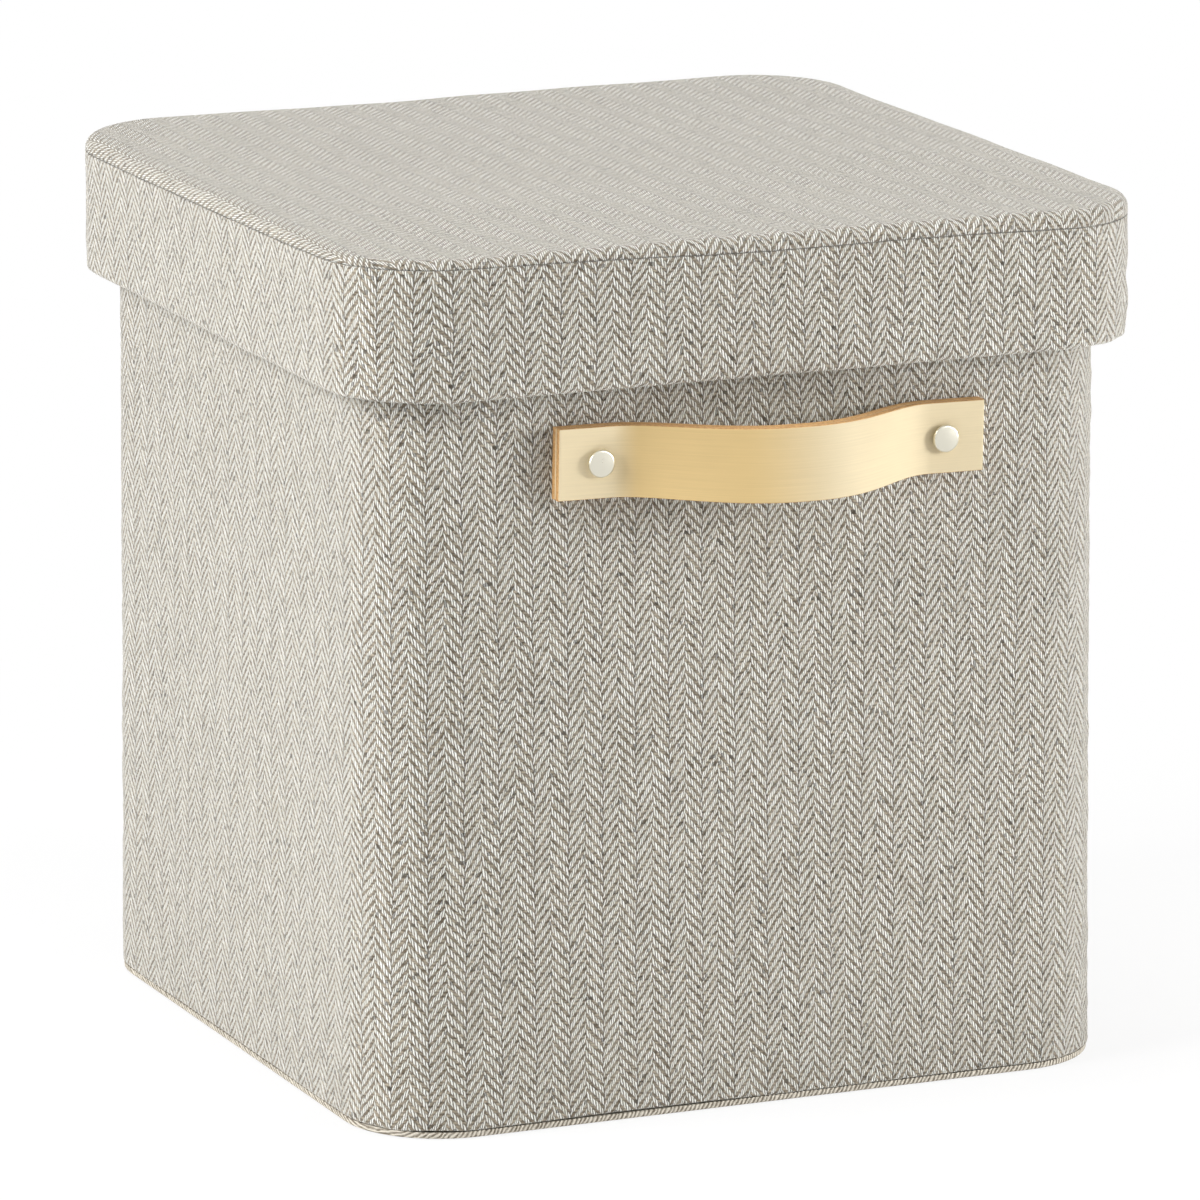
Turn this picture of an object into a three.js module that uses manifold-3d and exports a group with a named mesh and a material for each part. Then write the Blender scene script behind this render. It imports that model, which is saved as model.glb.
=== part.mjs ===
// Rigid cloth-covered storage bin with a lift-off box lid and a riveted strap handle.
// Millimetres, +Z up. The origin is the middle of the underside, which stands on the floor.
// The handle is on the front wall, which faces -Y.
//
// Walls, base and lid are stiff board. Each board is wrapped in cloth that turns over its edges,
// and the wrapped turnings are hidden by linings inside and by a base cover underneath.
// Every layer follows one rounded-square outline, so a layer is a profile lofted round it.

import * as THREE from 'three';
import { mergeVertices } from 'three/addons/utils/BufferGeometryUtils.js';
import Module from 'manifold-3d';

const wasm = await Module();
wasm.setup();

// ---- Driving dimensions ------------------------------------------------------------------

const OVERALL_HEIGHT = 315;
const BODY_TOP_WIDTH = 284; // across the wall cover just under the lid's top
const BASE_FLARE = 2; // how far each wall leans out from top to foot
const BODY_CORNER_RADIUS = 34; // of the wall cover, at the top
const BASE_CORNER_EASE = 3; // how much rounder the corners are at the foot

const CLOTH = 1.0; // herringbone cover cloth
const LINING = 0.8;
const WALL_BOARD = 3.0;
const BASE_BOARD = 3.0;
const LID_BOARD = 3.0;
const GLUE_LINE = 0.3; // between neighbouring layers

const WALL_TURN_IN = 14; // cover cloth turned down inside the rim
const WALL_TURN_UNDER = 18; // cover cloth turned in under the base board
const FOOT_RADIUS = 1.8; // rounding of the cover at the foot of the wall
const RIM_RADIUS = 2.2; // rounding of the cover over the wall's top edge

const BASE_COVER_CARD = 1.2;
const BASE_COVER_INSET = 0.4; // of the base cover's edge behind the wall cover
const FLOOR_CARD = 1.5;
const FLOOR_INSERT_FIT = 0.5; // each side, between the floor insert and the lining
const LINING_FOOT = 18; // lining turned in under the floor insert

const LID_CLEARANCE = 4.9; // each side, between the lid's rim and the wall
const LID_RIM_HEIGHT = 50;
const LID_CORNER_RADIUS = 39;
const LID_EDGE_RADIUS = 4.6; // top edge, outside
const LID_SEAM_DROP = 5.2; // from the top face down to the rim strip's folded edge
const LID_TURN_IN = 14; // rim strip turned up inside the lid
const LID_HEM_RADIUS = 2.4; // rolled lower edge of the rim, outside
const LID_REST_GAP = 0.3; // between the bin's rim and the lid's lining

const STRAP_LENGTH = 162.8;
const STRAP_WIDTH = 25.5;
const STRAP_PLY = 3; // one of two
const STRAP_RISE = 25.5; // how far the middle of the strap bows out
const STRAP_FULLNESS = 1.22; // above 1 the bow is flatter at its crest and steeper at its flanks
const STRAP_BELOW_LID = 14.2; // from the lid's lower edge to the strap's upper edge
const STRAP_OFF_CENTRE = 2.35; // the handle is riveted a touch to the right of the middle
const STRAP_TILT_DEGREES = 1; // and its right end a touch low

const RIVET_END_DISTANCE = 15.45; // from the strap's end to the rivet's axis
const RIVET_CAP_DIAMETER = 10;
const RIVET_CAP_HEIGHT = 2.4;
const RIVET_CAP_ROUNDING = 1.1;
const RIVET_FACE_DISH = 0.15;
const RIVET_TUBE_RADIUS = 1.7;
const RIVET_TUBE_WALL = 0.6;
const RIVET_HEAD_DIAMETER = 9; // inside the bin
const RIVET_HEAD_HEIGHT = 1.4;
const RIVET_FIT = 0.3; // clearance of the rivet in its holes

// ---- How finely curves are divided -------------------------------------------------------

const CORNER_STEPS = 8; // per rounded corner
const FOLD_STEPS = 3; // per rounded fold of a layer
const MITRE_LIMIT = 0.5; // cosine past which an offset corner is no longer stretched
const STRAP_STEPS = 40; // along the bow
const RIVET_STEPS = 24;

// ---- Places worked out from the sizes ----------------------------------------------------

const coverLayer = CLOTH + GLUE_LINE; // from the outside to the board's face
const bodyHalfTop = BODY_TOP_WIDTH / 2;
const bodyHalfFoot = bodyHalfTop + BASE_FLARE;

const coverUnderZ = 0; // underside of the base cover
const baseCoverTop = coverUnderZ + LINING + GLUE_LINE + BASE_COVER_CARD;
const footZ = baseCoverTop + GLUE_LINE; // lowest point of the wall cover
const boardFootZ = footZ + coverLayer;
const baseBoardTop = boardFootZ + BASE_BOARD;
const liningFootZ = baseBoardTop + GLUE_LINE;
const floorCardZ = liningFootZ + LINING + GLUE_LINE;
const floorCardTop = floorCardZ + FLOOR_CARD;
const floorTop = floorCardTop + GLUE_LINE + LINING;

const lidTopBoardTop = OVERALL_HEIGHT - coverLayer;
const lidTopBoardZ = lidTopBoardTop - LID_BOARD;
const lidLiningTop = lidTopBoardZ - GLUE_LINE;
const lidLiningZ = lidLiningTop - LINING;
const rimZ = lidLiningZ - LID_REST_GAP; // top of the bin's rim
const lidFootZ = OVERALL_HEIGHT - LID_RIM_HEIGHT;
const lidSeamZ = OVERALL_HEIGHT - LID_SEAM_DROP;

const wallStack = coverLayer + WALL_BOARD + GLUE_LINE; // outside to the layer inside the board
const lidStack = coverLayer + LID_BOARD + GLUE_LINE;
const floorInsertInset = wallStack + LINING + FLOOR_INSERT_FIT;
const lidHalf = bodyHalfTop + LID_CLEARANCE + lidStack + CLOTH;

// ---- Outlines ----------------------------------------------------------------------------

// Half the width of the bin's outer face at a height.
function bodyHalfAt(z) {
  return THREE.MathUtils.mapLinear(z, footZ, rimZ, bodyHalfFoot, bodyHalfTop);
}

// Distance from the middle to the corner arcs' centres. All layers of a wall share them.
function bodyCornerCentre(z) {
  const radius = THREE.MathUtils.mapLinear(
    z, footZ, rimZ, BODY_CORNER_RADIUS + BASE_CORNER_EASE, BODY_CORNER_RADIUS);
  return bodyHalfAt(z) - radius;
}

function lidCornerCentre() {
  return lidHalf - LID_CORNER_RADIUS;
}

// One level of a rounded square: points anticlockwise, the same number at every size.
function outlineAt(half, z, cornerCentre) {
  const centre = cornerCentre(z);
  const points = [];
  for (let corner = 0; corner < 4; corner++) {
    const start = corner * Math.PI / 2;
    const sideX = corner === 0 || corner === 3 ? 1 : -1;
    const sideY = corner < 2 ? 1 : -1;
    for (let step = 0; step <= CORNER_STEPS; step++) {
      const angle = start + (step / CORNER_STEPS) * Math.PI / 2;
      points.push(new THREE.Vector3(
        sideX * centre + (half - centre) * Math.cos(angle),
        sideY * centre + (half - centre) * Math.sin(angle),
        z));
    }
  }
  return points;
}

// ---- Lofts round an outline --------------------------------------------------------------

function geometryFrom(loops, triangles) {
  const positions = loops.flat().flatMap((point) => [point.x, point.y, point.z]);
  const geometry = new THREE.BufferGeometry();
  geometry.setAttribute('position', new THREE.Float32BufferAttribute(positions, 3));
  geometry.setIndex(triangles);
  return geometry;
}

// Joins each loop of a list to the next with a band of triangles.
function bandsBetween(loopCount, loopSize, closed) {
  const triangles = [];
  const bands = closed ? loopCount : loopCount - 1;
  for (let band = 0; band < bands; band++) {
    const low = band * loopSize;
    const high = ((band + 1) % loopCount) * loopSize;
    for (let step = 0; step < loopSize; step++) {
      const next = (step + 1) % loopSize;
      triangles.push(low + step, low + next, high + next);
      triangles.push(low + step, high + next, high + step);
    }
  }
  return triangles;
}

// A ring: a closed profile of (half-width, height) points, anticlockwise, carried round.
function ring(profile, cornerCentre) {
  const ordered = THREE.ShapeUtils.area(profile) > 0 ? profile : profile.slice().reverse();
  const loops = ordered.map((point) => outlineAt(point.x, point.y, cornerCentre));
  return geometryFrom(loops, bandsBetween(loops.length, loops[0].length, true));
}

// A panel or tray: an open profile that starts at its lower face and ends at its upper one.
function panel(profile, cornerCentre) {
  const loops = profile.map((point) => outlineAt(point.x, point.y, cornerCentre));
  const size = loops[0].length;
  const triangles = bandsBetween(loops.length, size, false);
  const last = (loops.length - 1) * size;
  const face = loops[0].map((point) => new THREE.Vector2(point.x, point.y));
  for (const [a, b, c] of THREE.ShapeUtils.triangulateShape(face, [])) {
    triangles.push(a, c, b);
    triangles.push(last + a, last + b, last + c);
  }
  return geometryFrom(loops, triangles);
}

// A polyline through the given corners, each rounded by its own radius.
function roundedPath(corners) {
  const points = [new THREE.Vector2(corners[0].x, corners[0].z)];
  for (let index = 1; index < corners.length - 1; index++) {
    const corner = new THREE.Vector2(corners[index].x, corners[index].z);
    const before = new THREE.Vector2(corners[index - 1].x, corners[index - 1].z);
    const after = new THREE.Vector2(corners[index + 1].x, corners[index + 1].z);
    const radius = corners[index].radius ?? 0;
    if (radius === 0) {
      points.push(corner);
      continue;
    }
    const inward = before.sub(corner).normalize();
    const outward = after.sub(corner).normalize();
    const half = Math.acos(inward.dot(outward)) / 2;
    const setback = radius / Math.tan(half);
    const toCentre = inward.clone().add(outward).normalize();
    const centre = corner.clone().addScaledVector(toCentre, radius / Math.sin(half));
    const from = corner.clone().addScaledVector(inward, setback).sub(centre);
    const to = corner.clone().addScaledVector(outward, setback).sub(centre);
    const sweep = Math.atan2(from.cross(to), from.dot(to));
    for (let step = 0; step <= FOLD_STEPS; step++) {
      points.push(from.clone().rotateAround(new THREE.Vector2(), sweep * step / FOLD_STEPS)
        .add(centre));
    }
  }
  const end = corners[corners.length - 1];
  points.push(new THREE.Vector2(end.x, end.z));
  return points;
}

// The same path moved sideways by a distance, with mitred corners: left is positive.
function offsetPath(path, distance) {
  return path.map((point, index) => {
    const before = path[Math.max(index - 1, 0)];
    const after = path[Math.min(index + 1, path.length - 1)];
    const arriving = point.clone().sub(before).normalize();
    const leaving = after.clone().sub(point).normalize();
    const start = index === 0 ? leaving : arriving;
    const end = index === path.length - 1 ? arriving : leaving;
    const normal = new THREE.Vector2(-start.y - end.y, start.x + end.x).normalize();
    const lean = normal.dot(new THREE.Vector2(-start.y, start.x));
    const stretch = 1 / Math.max(lean, MITRE_LIMIT);
    return point.clone().addScaledVector(normal, distance * stretch);
  });
}

// A layer of even thickness: its face follows the path and its body lies to the right of it.
function layerProfile(path, thickness) {
  return [...path, ...offsetPath(path, -thickness).reverse()];
}

// ---- Cutting and joining -----------------------------------------------------------------

function toSolid(geometry) {
  const bare = geometry.clone();
  bare.deleteAttribute('normal');
  bare.deleteAttribute('uv');
  const merged = mergeVertices(bare, 1e-5);
  return new wasm.Manifold(new wasm.Mesh({
    numProp: 3,
    vertProperties: new Float32Array(merged.getAttribute('position').array),
    triVerts: new Uint32Array(merged.getIndex().array),
  }));
}

function toGeometry(solid) {
  const mesh = solid.getMesh();
  const geometry = new THREE.BufferGeometry();
  geometry.setAttribute('position', new THREE.BufferAttribute(mesh.vertProperties, 3));
  geometry.setIndex(new THREE.BufferAttribute(mesh.triVerts, 1));
  return geometry;
}

function cutAll(geometry, cutters) {
  let solid = toSolid(geometry);
  for (const cutter of cutters) {
    solid = solid.subtract(toSolid(cutter));
  }
  return toGeometry(solid);
}

// ---- Finishes ----------------------------------------------------------------------------

const finishes = {
  herringbone: new THREE.MeshStandardMaterial({ color: 0xcdcabf, roughness: 0.92 }),
  lining: new THREE.MeshStandardMaterial({ color: 0xd8d2c4, roughness: 0.9 }),
  baseCover: new THREE.MeshStandardMaterial({ color: 0xd3c9b2, roughness: 0.92 }),
  board: new THREE.MeshStandardMaterial({ color: 0x9c9588, roughness: 0.95 }),
  strap: new THREE.MeshStandardMaterial({ color: 0xe6d3a6, roughness: 0.45 }),
  nickel: new THREE.MeshStandardMaterial({ color: 0xc9c6c0, roughness: 0.15, metalness: 1 }),
};

function piece(name, geometry, finish) {
  geometry.computeVertexNormals();
  const mesh = new THREE.Mesh(geometry, finishes[finish].clone());
  mesh.name = name;
  return mesh;
}

// ---- Handle: a two-ply strap bowed out between two rivets ---------------------------------

const strapThickness = 2 * STRAP_PLY + GLUE_LINE;
const strapZ = lidFootZ - STRAP_BELOW_LID - STRAP_WIDTH / 2;
const strapTilt = THREE.MathUtils.degToRad(STRAP_TILT_DEGREES);
const rivetOut = STRAP_LENGTH / 2 - RIVET_END_DISTANCE; // from the strap's middle
const bowHalfSpan = rivetOut - RIVET_CAP_DIAMETER / 2; // the strap lies flat under the caps

// The strap's back lies one glue line in front of the wall's furthest point behind it.
const strapLowZ = strapZ - STRAP_WIDTH / 2 - Math.sin(strapTilt) * STRAP_LENGTH / 2;
const strapBackY = -(bodyHalfAt(strapLowZ) + GLUE_LINE);

// Where the lining's inner face lies, measured back from the strap's back face.
const gripY = -(bodyHalfAt(strapZ) - wallStack - LINING) - strapBackY;

// How far the strap stands off its flat line, at a distance from its middle.
function bowAt(along) {
  const share = Math.min(Math.abs(along) / bowHalfSpan, 1) ** STRAP_FULLNESS;
  return STRAP_RISE * (1 + Math.cos(Math.PI * share)) / 2;
}

// The strap's back line, seen from above: flat pads, and the bow between them.
function strapLine() {
  const half = STRAP_LENGTH / 2;
  const line = [new THREE.Vector2(-half, 0)];
  for (let step = 0; step <= STRAP_STEPS; step++) {
    const along = THREE.MathUtils.lerp(-bowHalfSpan, bowHalfSpan, step / STRAP_STEPS);
    line.push(new THREE.Vector2(along, -bowAt(along)));
  }
  line.push(new THREE.Vector2(half, 0));
  return line;
}

// A ply is a slice of the strap's thickness, extruded across its width.
function strapPly(innerFace, rivetHoles) {
  const line = strapLine();
  const outline = [
    ...offsetPath(line, -innerFace),
    ...offsetPath(line, -innerFace - STRAP_PLY).reverse(),
  ];
  const geometry = new THREE.ExtrudeGeometry(new THREE.Shape(outline), {
    depth: STRAP_WIDTH, bevelEnabled: false, steps: 1,
  });
  geometry.translate(0, 0, -STRAP_WIDTH / 2);
  return cutAll(geometry, rivetHoles);
}

// A straight cutter for one rivet's hole, long enough to cross strap and wall.
function rivetHole(along) {
  const length = 4 * (strapThickness + gripY);
  const radius = RIVET_TUBE_RADIUS + RIVET_FIT;
  const cutter = new THREE.CylinderGeometry(radius, radius, length, RIVET_STEPS);
  cutter.translate(along, 0, 0);
  return cutter;
}

// Outer half of a rivet: a shallow cap with a tube that reaches through to the lining.
function rivetCap() {
  const capRadius = RIVET_CAP_DIAMETER / 2;
  const seatY = -(strapThickness + GLUE_LINE);
  const faceY = seatY - RIVET_CAP_HEIGHT;
  const bore = RIVET_TUBE_RADIUS - RIVET_TUBE_WALL;
  const boreEnd = seatY - RIVET_CAP_HEIGHT / 4;
  const rounding = new THREE.Path();
  rounding.absarc(capRadius - RIVET_CAP_ROUNDING, faceY + RIVET_CAP_ROUNDING,
    RIVET_CAP_ROUNDING, -Math.PI / 2, 0, false);
  return new THREE.LatheGeometry([
    new THREE.Vector2(0, faceY + RIVET_FACE_DISH),
    new THREE.Vector2(capRadius / 2, faceY + RIVET_FACE_DISH * 2 / 3),
    ...rounding.getPoints(FOLD_STEPS),
    new THREE.Vector2(capRadius, seatY),
    new THREE.Vector2(RIVET_TUBE_RADIUS, seatY),
    new THREE.Vector2(RIVET_TUBE_RADIUS, gripY),
    new THREE.Vector2(bore, gripY),
    new THREE.Vector2(bore, boreEnd),
    new THREE.Vector2(0, boreEnd),
  ], RIVET_STEPS);
}

// Inner half of a rivet: a low head on the lining with a post that fills the tube.
function rivetPost() {
  const headRadius = RIVET_HEAD_DIAMETER / 2;
  const postRadius = RIVET_TUBE_RADIUS - RIVET_TUBE_WALL - RIVET_FIT;
  const seatY = gripY + GLUE_LINE;
  const topY = seatY + RIVET_HEAD_HEIGHT;
  const rounding = new THREE.Path();
  const radius = RIVET_HEAD_HEIGHT / 2;
  rounding.absarc(headRadius - radius, topY - radius, radius, 0, Math.PI / 2, false);
  return new THREE.LatheGeometry([
    new THREE.Vector2(0, -strapThickness),
    new THREE.Vector2(postRadius, -strapThickness),
    new THREE.Vector2(postRadius, seatY),
    new THREE.Vector2(headRadius, seatY),
    ...rounding.getPoints(FOLD_STEPS),
    new THREE.Vector2(0, topY),
  ], RIVET_STEPS);
}

function buildHandle() {
  const handle = new THREE.Group();
  handle.position.set(STRAP_OFF_CENTRE, strapBackY, strapZ);
  handle.rotation.y = strapTilt;
  const holes = [rivetHole(-rivetOut), rivetHole(rivetOut)];
  handle.add(piece('strap_back_ply', strapPly(0, holes), 'strap'));
  handle.add(piece('strap_front_ply', strapPly(STRAP_PLY + GLUE_LINE, holes), 'strap'));
  for (const [side, along] of [['left', -rivetOut], ['right', rivetOut]]) {
    const cap = piece(`rivet_cap_${side}`, rivetCap(), 'nickel');
    const post = piece(`rivet_post_${side}`, rivetPost(), 'nickel');
    cap.position.x = along;
    post.position.x = along;
    handle.add(cap, post);
  }
  return handle;
}

// The handle's two holes, where they cross the front wall.
function wallHoles() {
  return [-rivetOut, rivetOut].map((along) => {
    const cutter = rivetHole(along);
    cutter.rotateY(strapTilt);
    cutter.translate(STRAP_OFF_CENTRE, strapBackY, strapZ);
    return cutter;
  });
}

// ---- Bin ---------------------------------------------------------------------------------

// The wall cover, from its inner turning over the rim, down the wall and in under the base.
function bodyWrap() {
  const turnInHalf = bodyHalfAt(rimZ - WALL_TURN_IN) - wallStack - CLOTH;
  const face = roundedPath([
    { x: turnInHalf, z: rimZ - WALL_TURN_IN },
    { x: bodyHalfTop - wallStack - CLOTH, z: rimZ, radius: RIM_RADIUS },
    { x: bodyHalfTop, z: rimZ, radius: RIM_RADIUS },
    { x: bodyHalfFoot, z: footZ, radius: FOOT_RADIUS },
    { x: bodyHalfFoot - coverLayer - WALL_TURN_UNDER, z: footZ },
  ]);
  return ring(layerProfile(face, CLOTH), bodyCornerCentre);
}

// The board ring that makes the four walls stiff.
function wallBoard() {
  const topZ = rimZ - coverLayer;
  const topHalf = bodyHalfAt(topZ) - coverLayer;
  const footHalf = bodyHalfAt(boardFootZ) - coverLayer;
  const ease = Math.max(RIM_RADIUS - coverLayer, 0);
  const outline = roundedPath([
    { x: topHalf - WALL_BOARD, z: boardFootZ },
    { x: topHalf - WALL_BOARD, z: topZ, radius: ease },
    { x: topHalf, z: topZ, radius: ease },
    { x: footHalf, z: boardFootZ },
  ]);
  outline[0].x = footHalf - WALL_BOARD;
  return ring(outline, bodyCornerCentre);
}

// The lining: down the wall from the cover's turning, and in under the floor insert.
function wallLining() {
  const topZ = rimZ - WALL_TURN_IN - GLUE_LINE;
  const face = roundedPath([
    { x: bodyHalfAt(topZ) - wallStack, z: topZ },
    { x: bodyHalfAt(liningFootZ) - wallStack, z: liningFootZ, radius: LINING },
    { x: bodyHalfAt(liningFootZ) - wallStack - LINING_FOOT, z: liningFootZ },
  ]);
  return ring(layerProfile(face, LINING), bodyCornerCentre);
}

// A flat panel between two heights, its edge at a distance inside the wall's face.
function flatPanel(inset, lowZ, highZ, halfAt, cornerCentre) {
  return panel([
    new THREE.Vector2(halfAt(lowZ) - inset, lowZ),
    new THREE.Vector2(halfAt(highZ) - inset, highZ),
  ], cornerCentre);
}

// Cloth over a card, folded down its edges: the cloth of the floor insert.
function floorCloth() {
  const outer = bodyHalfAt(floorCardZ) - floorInsertInset;
  const inner = outer - LINING;
  return panel([
    new THREE.Vector2(inner, floorCardTop + GLUE_LINE),
    new THREE.Vector2(inner, floorCardZ),
    new THREE.Vector2(outer, floorCardZ),
    new THREE.Vector2(outer, floorTop - LINING / 2),
    new THREE.Vector2(outer - LINING / 2, floorTop),
  ], bodyCornerCentre);
}

// Cloth under a card, folded up its edges: the cloth of the base cover.
function baseCoverCloth() {
  const outer = bodyHalfFoot - BASE_COVER_INSET;
  const inner = outer - LINING;
  return panel([
    new THREE.Vector2(outer - LINING, coverUnderZ),
    new THREE.Vector2(outer - LINING / 4, coverUnderZ + LINING / 4),
    new THREE.Vector2(outer, coverUnderZ + LINING),
    new THREE.Vector2(outer, baseCoverTop - LINING / 4),
    new THREE.Vector2(outer - LINING / 4, baseCoverTop),
    new THREE.Vector2(inner, baseCoverTop),
    new THREE.Vector2(inner, coverUnderZ + LINING),
  ], bodyCornerCentre);
}

function buildBin() {
  const bin = new THREE.Group();
  const holes = wallHoles();
  const coverCardInset = BASE_COVER_INSET + LINING + GLUE_LINE;
  const floorCardInset = floorInsertInset + LINING + GLUE_LINE;
  bin.add(
    piece('body_wrap', cutAll(bodyWrap(), holes), 'herringbone'),
    piece('wall_board', cutAll(wallBoard(), holes), 'board'),
    piece('wall_lining', cutAll(wallLining(), holes), 'lining'),
    piece('base_board',
      flatPanel(wallStack, boardFootZ, baseBoardTop, bodyHalfAt, bodyCornerCentre), 'board'),
    piece('base_cover_cloth', baseCoverCloth(), 'baseCover'),
    piece('base_cover_card',
      flatPanel(coverCardInset, coverUnderZ + LINING + GLUE_LINE, baseCoverTop,
        () => bodyHalfFoot, bodyCornerCentre), 'board'),
    piece('floor_card',
      flatPanel(floorCardInset, floorCardZ, floorCardTop, bodyHalfAt, bodyCornerCentre), 'board'),
    piece('floor_cloth', floorCloth(), 'lining'),
    buildHandle(),
  );
  return bin;
}

// ---- Lid ---------------------------------------------------------------------------------

// The top cover: flat over the board and folded over its edge as far as the seam.
function lidTopCloth() {
  const under = OVERALL_HEIGHT - CLOTH;
  const inner = lidHalf - CLOTH;
  const lipZ = lidSeamZ + GLUE_LINE;
  const outside = new THREE.Path();
  outside.absarc(lidHalf - LID_EDGE_RADIUS, OVERALL_HEIGHT - LID_EDGE_RADIUS,
    LID_EDGE_RADIUS, 0, Math.PI / 2, false);
  const inside = new THREE.Path();
  inside.absarc(lidHalf - LID_EDGE_RADIUS, OVERALL_HEIGHT - LID_EDGE_RADIUS,
    LID_EDGE_RADIUS - CLOTH, Math.PI / 2, 0, true);
  return panel([
    ...inside.getPoints(2 * FOLD_STEPS),
    new THREE.Vector2(inner, lipZ),
    new THREE.Vector2(lidHalf, lipZ),
    ...outside.getPoints(2 * FOLD_STEPS),
  ], lidCornerCentre);
}

// The rim strip: down from its folded edge at the seam, round the hem and up inside.
function lidRimCloth() {
  const face = roundedPath([
    { x: lidHalf, z: lidSeamZ },
    { x: lidHalf, z: lidFootZ, radius: LID_HEM_RADIUS },
    { x: lidHalf - lidStack - CLOTH, z: lidFootZ, radius: LID_HEM_RADIUS },
    { x: lidHalf - lidStack - CLOTH, z: lidFootZ + LID_TURN_IN },
  ]);
  return ring(layerProfile(face, CLOTH), lidCornerCentre);
}

function lidRimBoard() {
  const outer = lidHalf - coverLayer;
  const lowZ = lidFootZ + coverLayer;
  const ease = Math.max(LID_HEM_RADIUS - coverLayer, 0);
  const outline = roundedPath([
    { x: outer, z: lidTopBoardZ - GLUE_LINE },
    { x: outer, z: lowZ, radius: ease },
    { x: outer - LID_BOARD, z: lowZ, radius: ease },
    { x: outer - LID_BOARD, z: lidTopBoardZ - GLUE_LINE },
  ]);
  return ring(outline, lidCornerCentre);
}

// The top board's upper edge is rounded to carry the cover's fold.
function lidTopBoard() {
  const outer = lidHalf - coverLayer;
  const ease = Math.min(LID_EDGE_RADIUS - coverLayer, LID_BOARD);
  const rounding = new THREE.Path();
  rounding.absarc(outer - ease, lidTopBoardTop - ease, ease, 0, Math.PI / 2, false);
  return panel([
    new THREE.Vector2(outer, lidTopBoardZ),
    ...rounding.getPoints(FOLD_STEPS),
  ], lidCornerCentre);
}

function lidRimLining() {
  const outer = lidHalf - lidStack;
  const lowZ = lidFootZ + LID_TURN_IN + GLUE_LINE;
  return ring([
    new THREE.Vector2(outer, lowZ),
    new THREE.Vector2(outer, lidLiningTop),
    new THREE.Vector2(outer - LINING, lidLiningTop),
    new THREE.Vector2(outer - LINING, lowZ),
  ], lidCornerCentre);
}

function buildLid() {
  const lid = new THREE.Group();
  const topLiningInset = lidStack + LINING + GLUE_LINE;
  lid.add(
    piece('lid_top_cloth', lidTopCloth(), 'herringbone'),
    piece('lid_rim_cloth', lidRimCloth(), 'herringbone'),
    piece('lid_top_board', lidTopBoard(), 'board'),
    piece('lid_rim_board', lidRimBoard(), 'board'),
    piece('lid_rim_lining', lidRimLining(), 'lining'),
    piece('lid_top_lining',
      flatPanel(topLiningInset, lidLiningZ, lidLiningTop, () => lidHalf, lidCornerCentre),
      'lining'),
  );
  return lid;
}

// ---- The whole object --------------------------------------------------------------------

const group = new THREE.Group();
group.add(buildBin(), buildLid());

export default group;
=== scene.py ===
"""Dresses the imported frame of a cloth-covered storage bin with a lift-off lid.

The frame gives the places and outer sizes of the pieces, and what it can't give, such as a fold
or a radius, is a named value here. Each sub-assembly is a class that lofts its cloths as dense
closed sheets, or sweeps its strap, and dresses them. Lengths are millimetres unless a comment
says metres, and they turn to metres where a mesh is written.
"""

from __future__ import annotations

import logging
import math
from collections.abc import Callable, Sequence
from dataclasses import dataclass
from enum import Enum
from typing import Any, ClassVar

import bmesh
import bpy
import numpy as np
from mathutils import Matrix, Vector

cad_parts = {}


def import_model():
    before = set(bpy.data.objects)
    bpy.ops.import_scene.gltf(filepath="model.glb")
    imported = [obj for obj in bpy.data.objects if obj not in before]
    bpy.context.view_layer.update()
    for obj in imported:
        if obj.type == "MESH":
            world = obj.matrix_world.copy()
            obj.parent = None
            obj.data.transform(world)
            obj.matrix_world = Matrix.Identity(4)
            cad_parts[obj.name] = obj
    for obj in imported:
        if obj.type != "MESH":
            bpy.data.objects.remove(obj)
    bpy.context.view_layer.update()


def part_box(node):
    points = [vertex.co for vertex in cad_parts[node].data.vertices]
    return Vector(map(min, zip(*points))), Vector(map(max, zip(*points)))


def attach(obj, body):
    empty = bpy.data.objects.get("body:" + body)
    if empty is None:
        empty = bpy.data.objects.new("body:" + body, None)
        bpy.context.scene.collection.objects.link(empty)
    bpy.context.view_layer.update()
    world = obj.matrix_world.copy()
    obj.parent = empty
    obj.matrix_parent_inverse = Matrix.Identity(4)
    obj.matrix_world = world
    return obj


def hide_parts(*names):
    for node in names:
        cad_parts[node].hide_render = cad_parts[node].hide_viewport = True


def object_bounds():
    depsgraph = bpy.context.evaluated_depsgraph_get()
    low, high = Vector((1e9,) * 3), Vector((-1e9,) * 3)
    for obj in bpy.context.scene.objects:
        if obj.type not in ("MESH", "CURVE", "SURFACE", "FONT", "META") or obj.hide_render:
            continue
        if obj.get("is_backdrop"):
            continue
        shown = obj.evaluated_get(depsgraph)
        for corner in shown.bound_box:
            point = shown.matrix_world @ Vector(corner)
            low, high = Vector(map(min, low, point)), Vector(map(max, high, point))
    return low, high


log = logging.getLogger("storage_bin")

MM = 0.001
JOIN_MM = 0.002  # points closer than this are one point
THREAD_ATTRIBUTE = "thread_mm"
# painted shade from 0 to 1 that darkens the cloth's colour: creases, seams, under the foot
CREASE_ATTRIBUTE = "crease"
HIDE_STEPS = np.array([0.0, 0.08, 0.2, 0.4, 0.7, 1.2])  # mm in from a ply's cut, round its edge
CLOTH_STEPS = np.array([0.0, 0.12, 0.3, 0.6, 1.0, 1.6, 2.6])  # mm in from a cloth's rounded end


class Body(Enum):
    """The rigid bodies that pieces ride on."""

    BIN = "bin"
    LID = "lid"


class Slot(Enum):
    """The record's material slots."""

    HERRINGBONE = "herringbone_cloth"
    LINING = "lining_cloth"
    BASE = "base_cloth"
    BOARD = "grey_board"
    STRAP = "strap_hide"
    NICKEL = "nickel"


# ---- Materials ----------------------------------------------------------------------------


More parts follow.
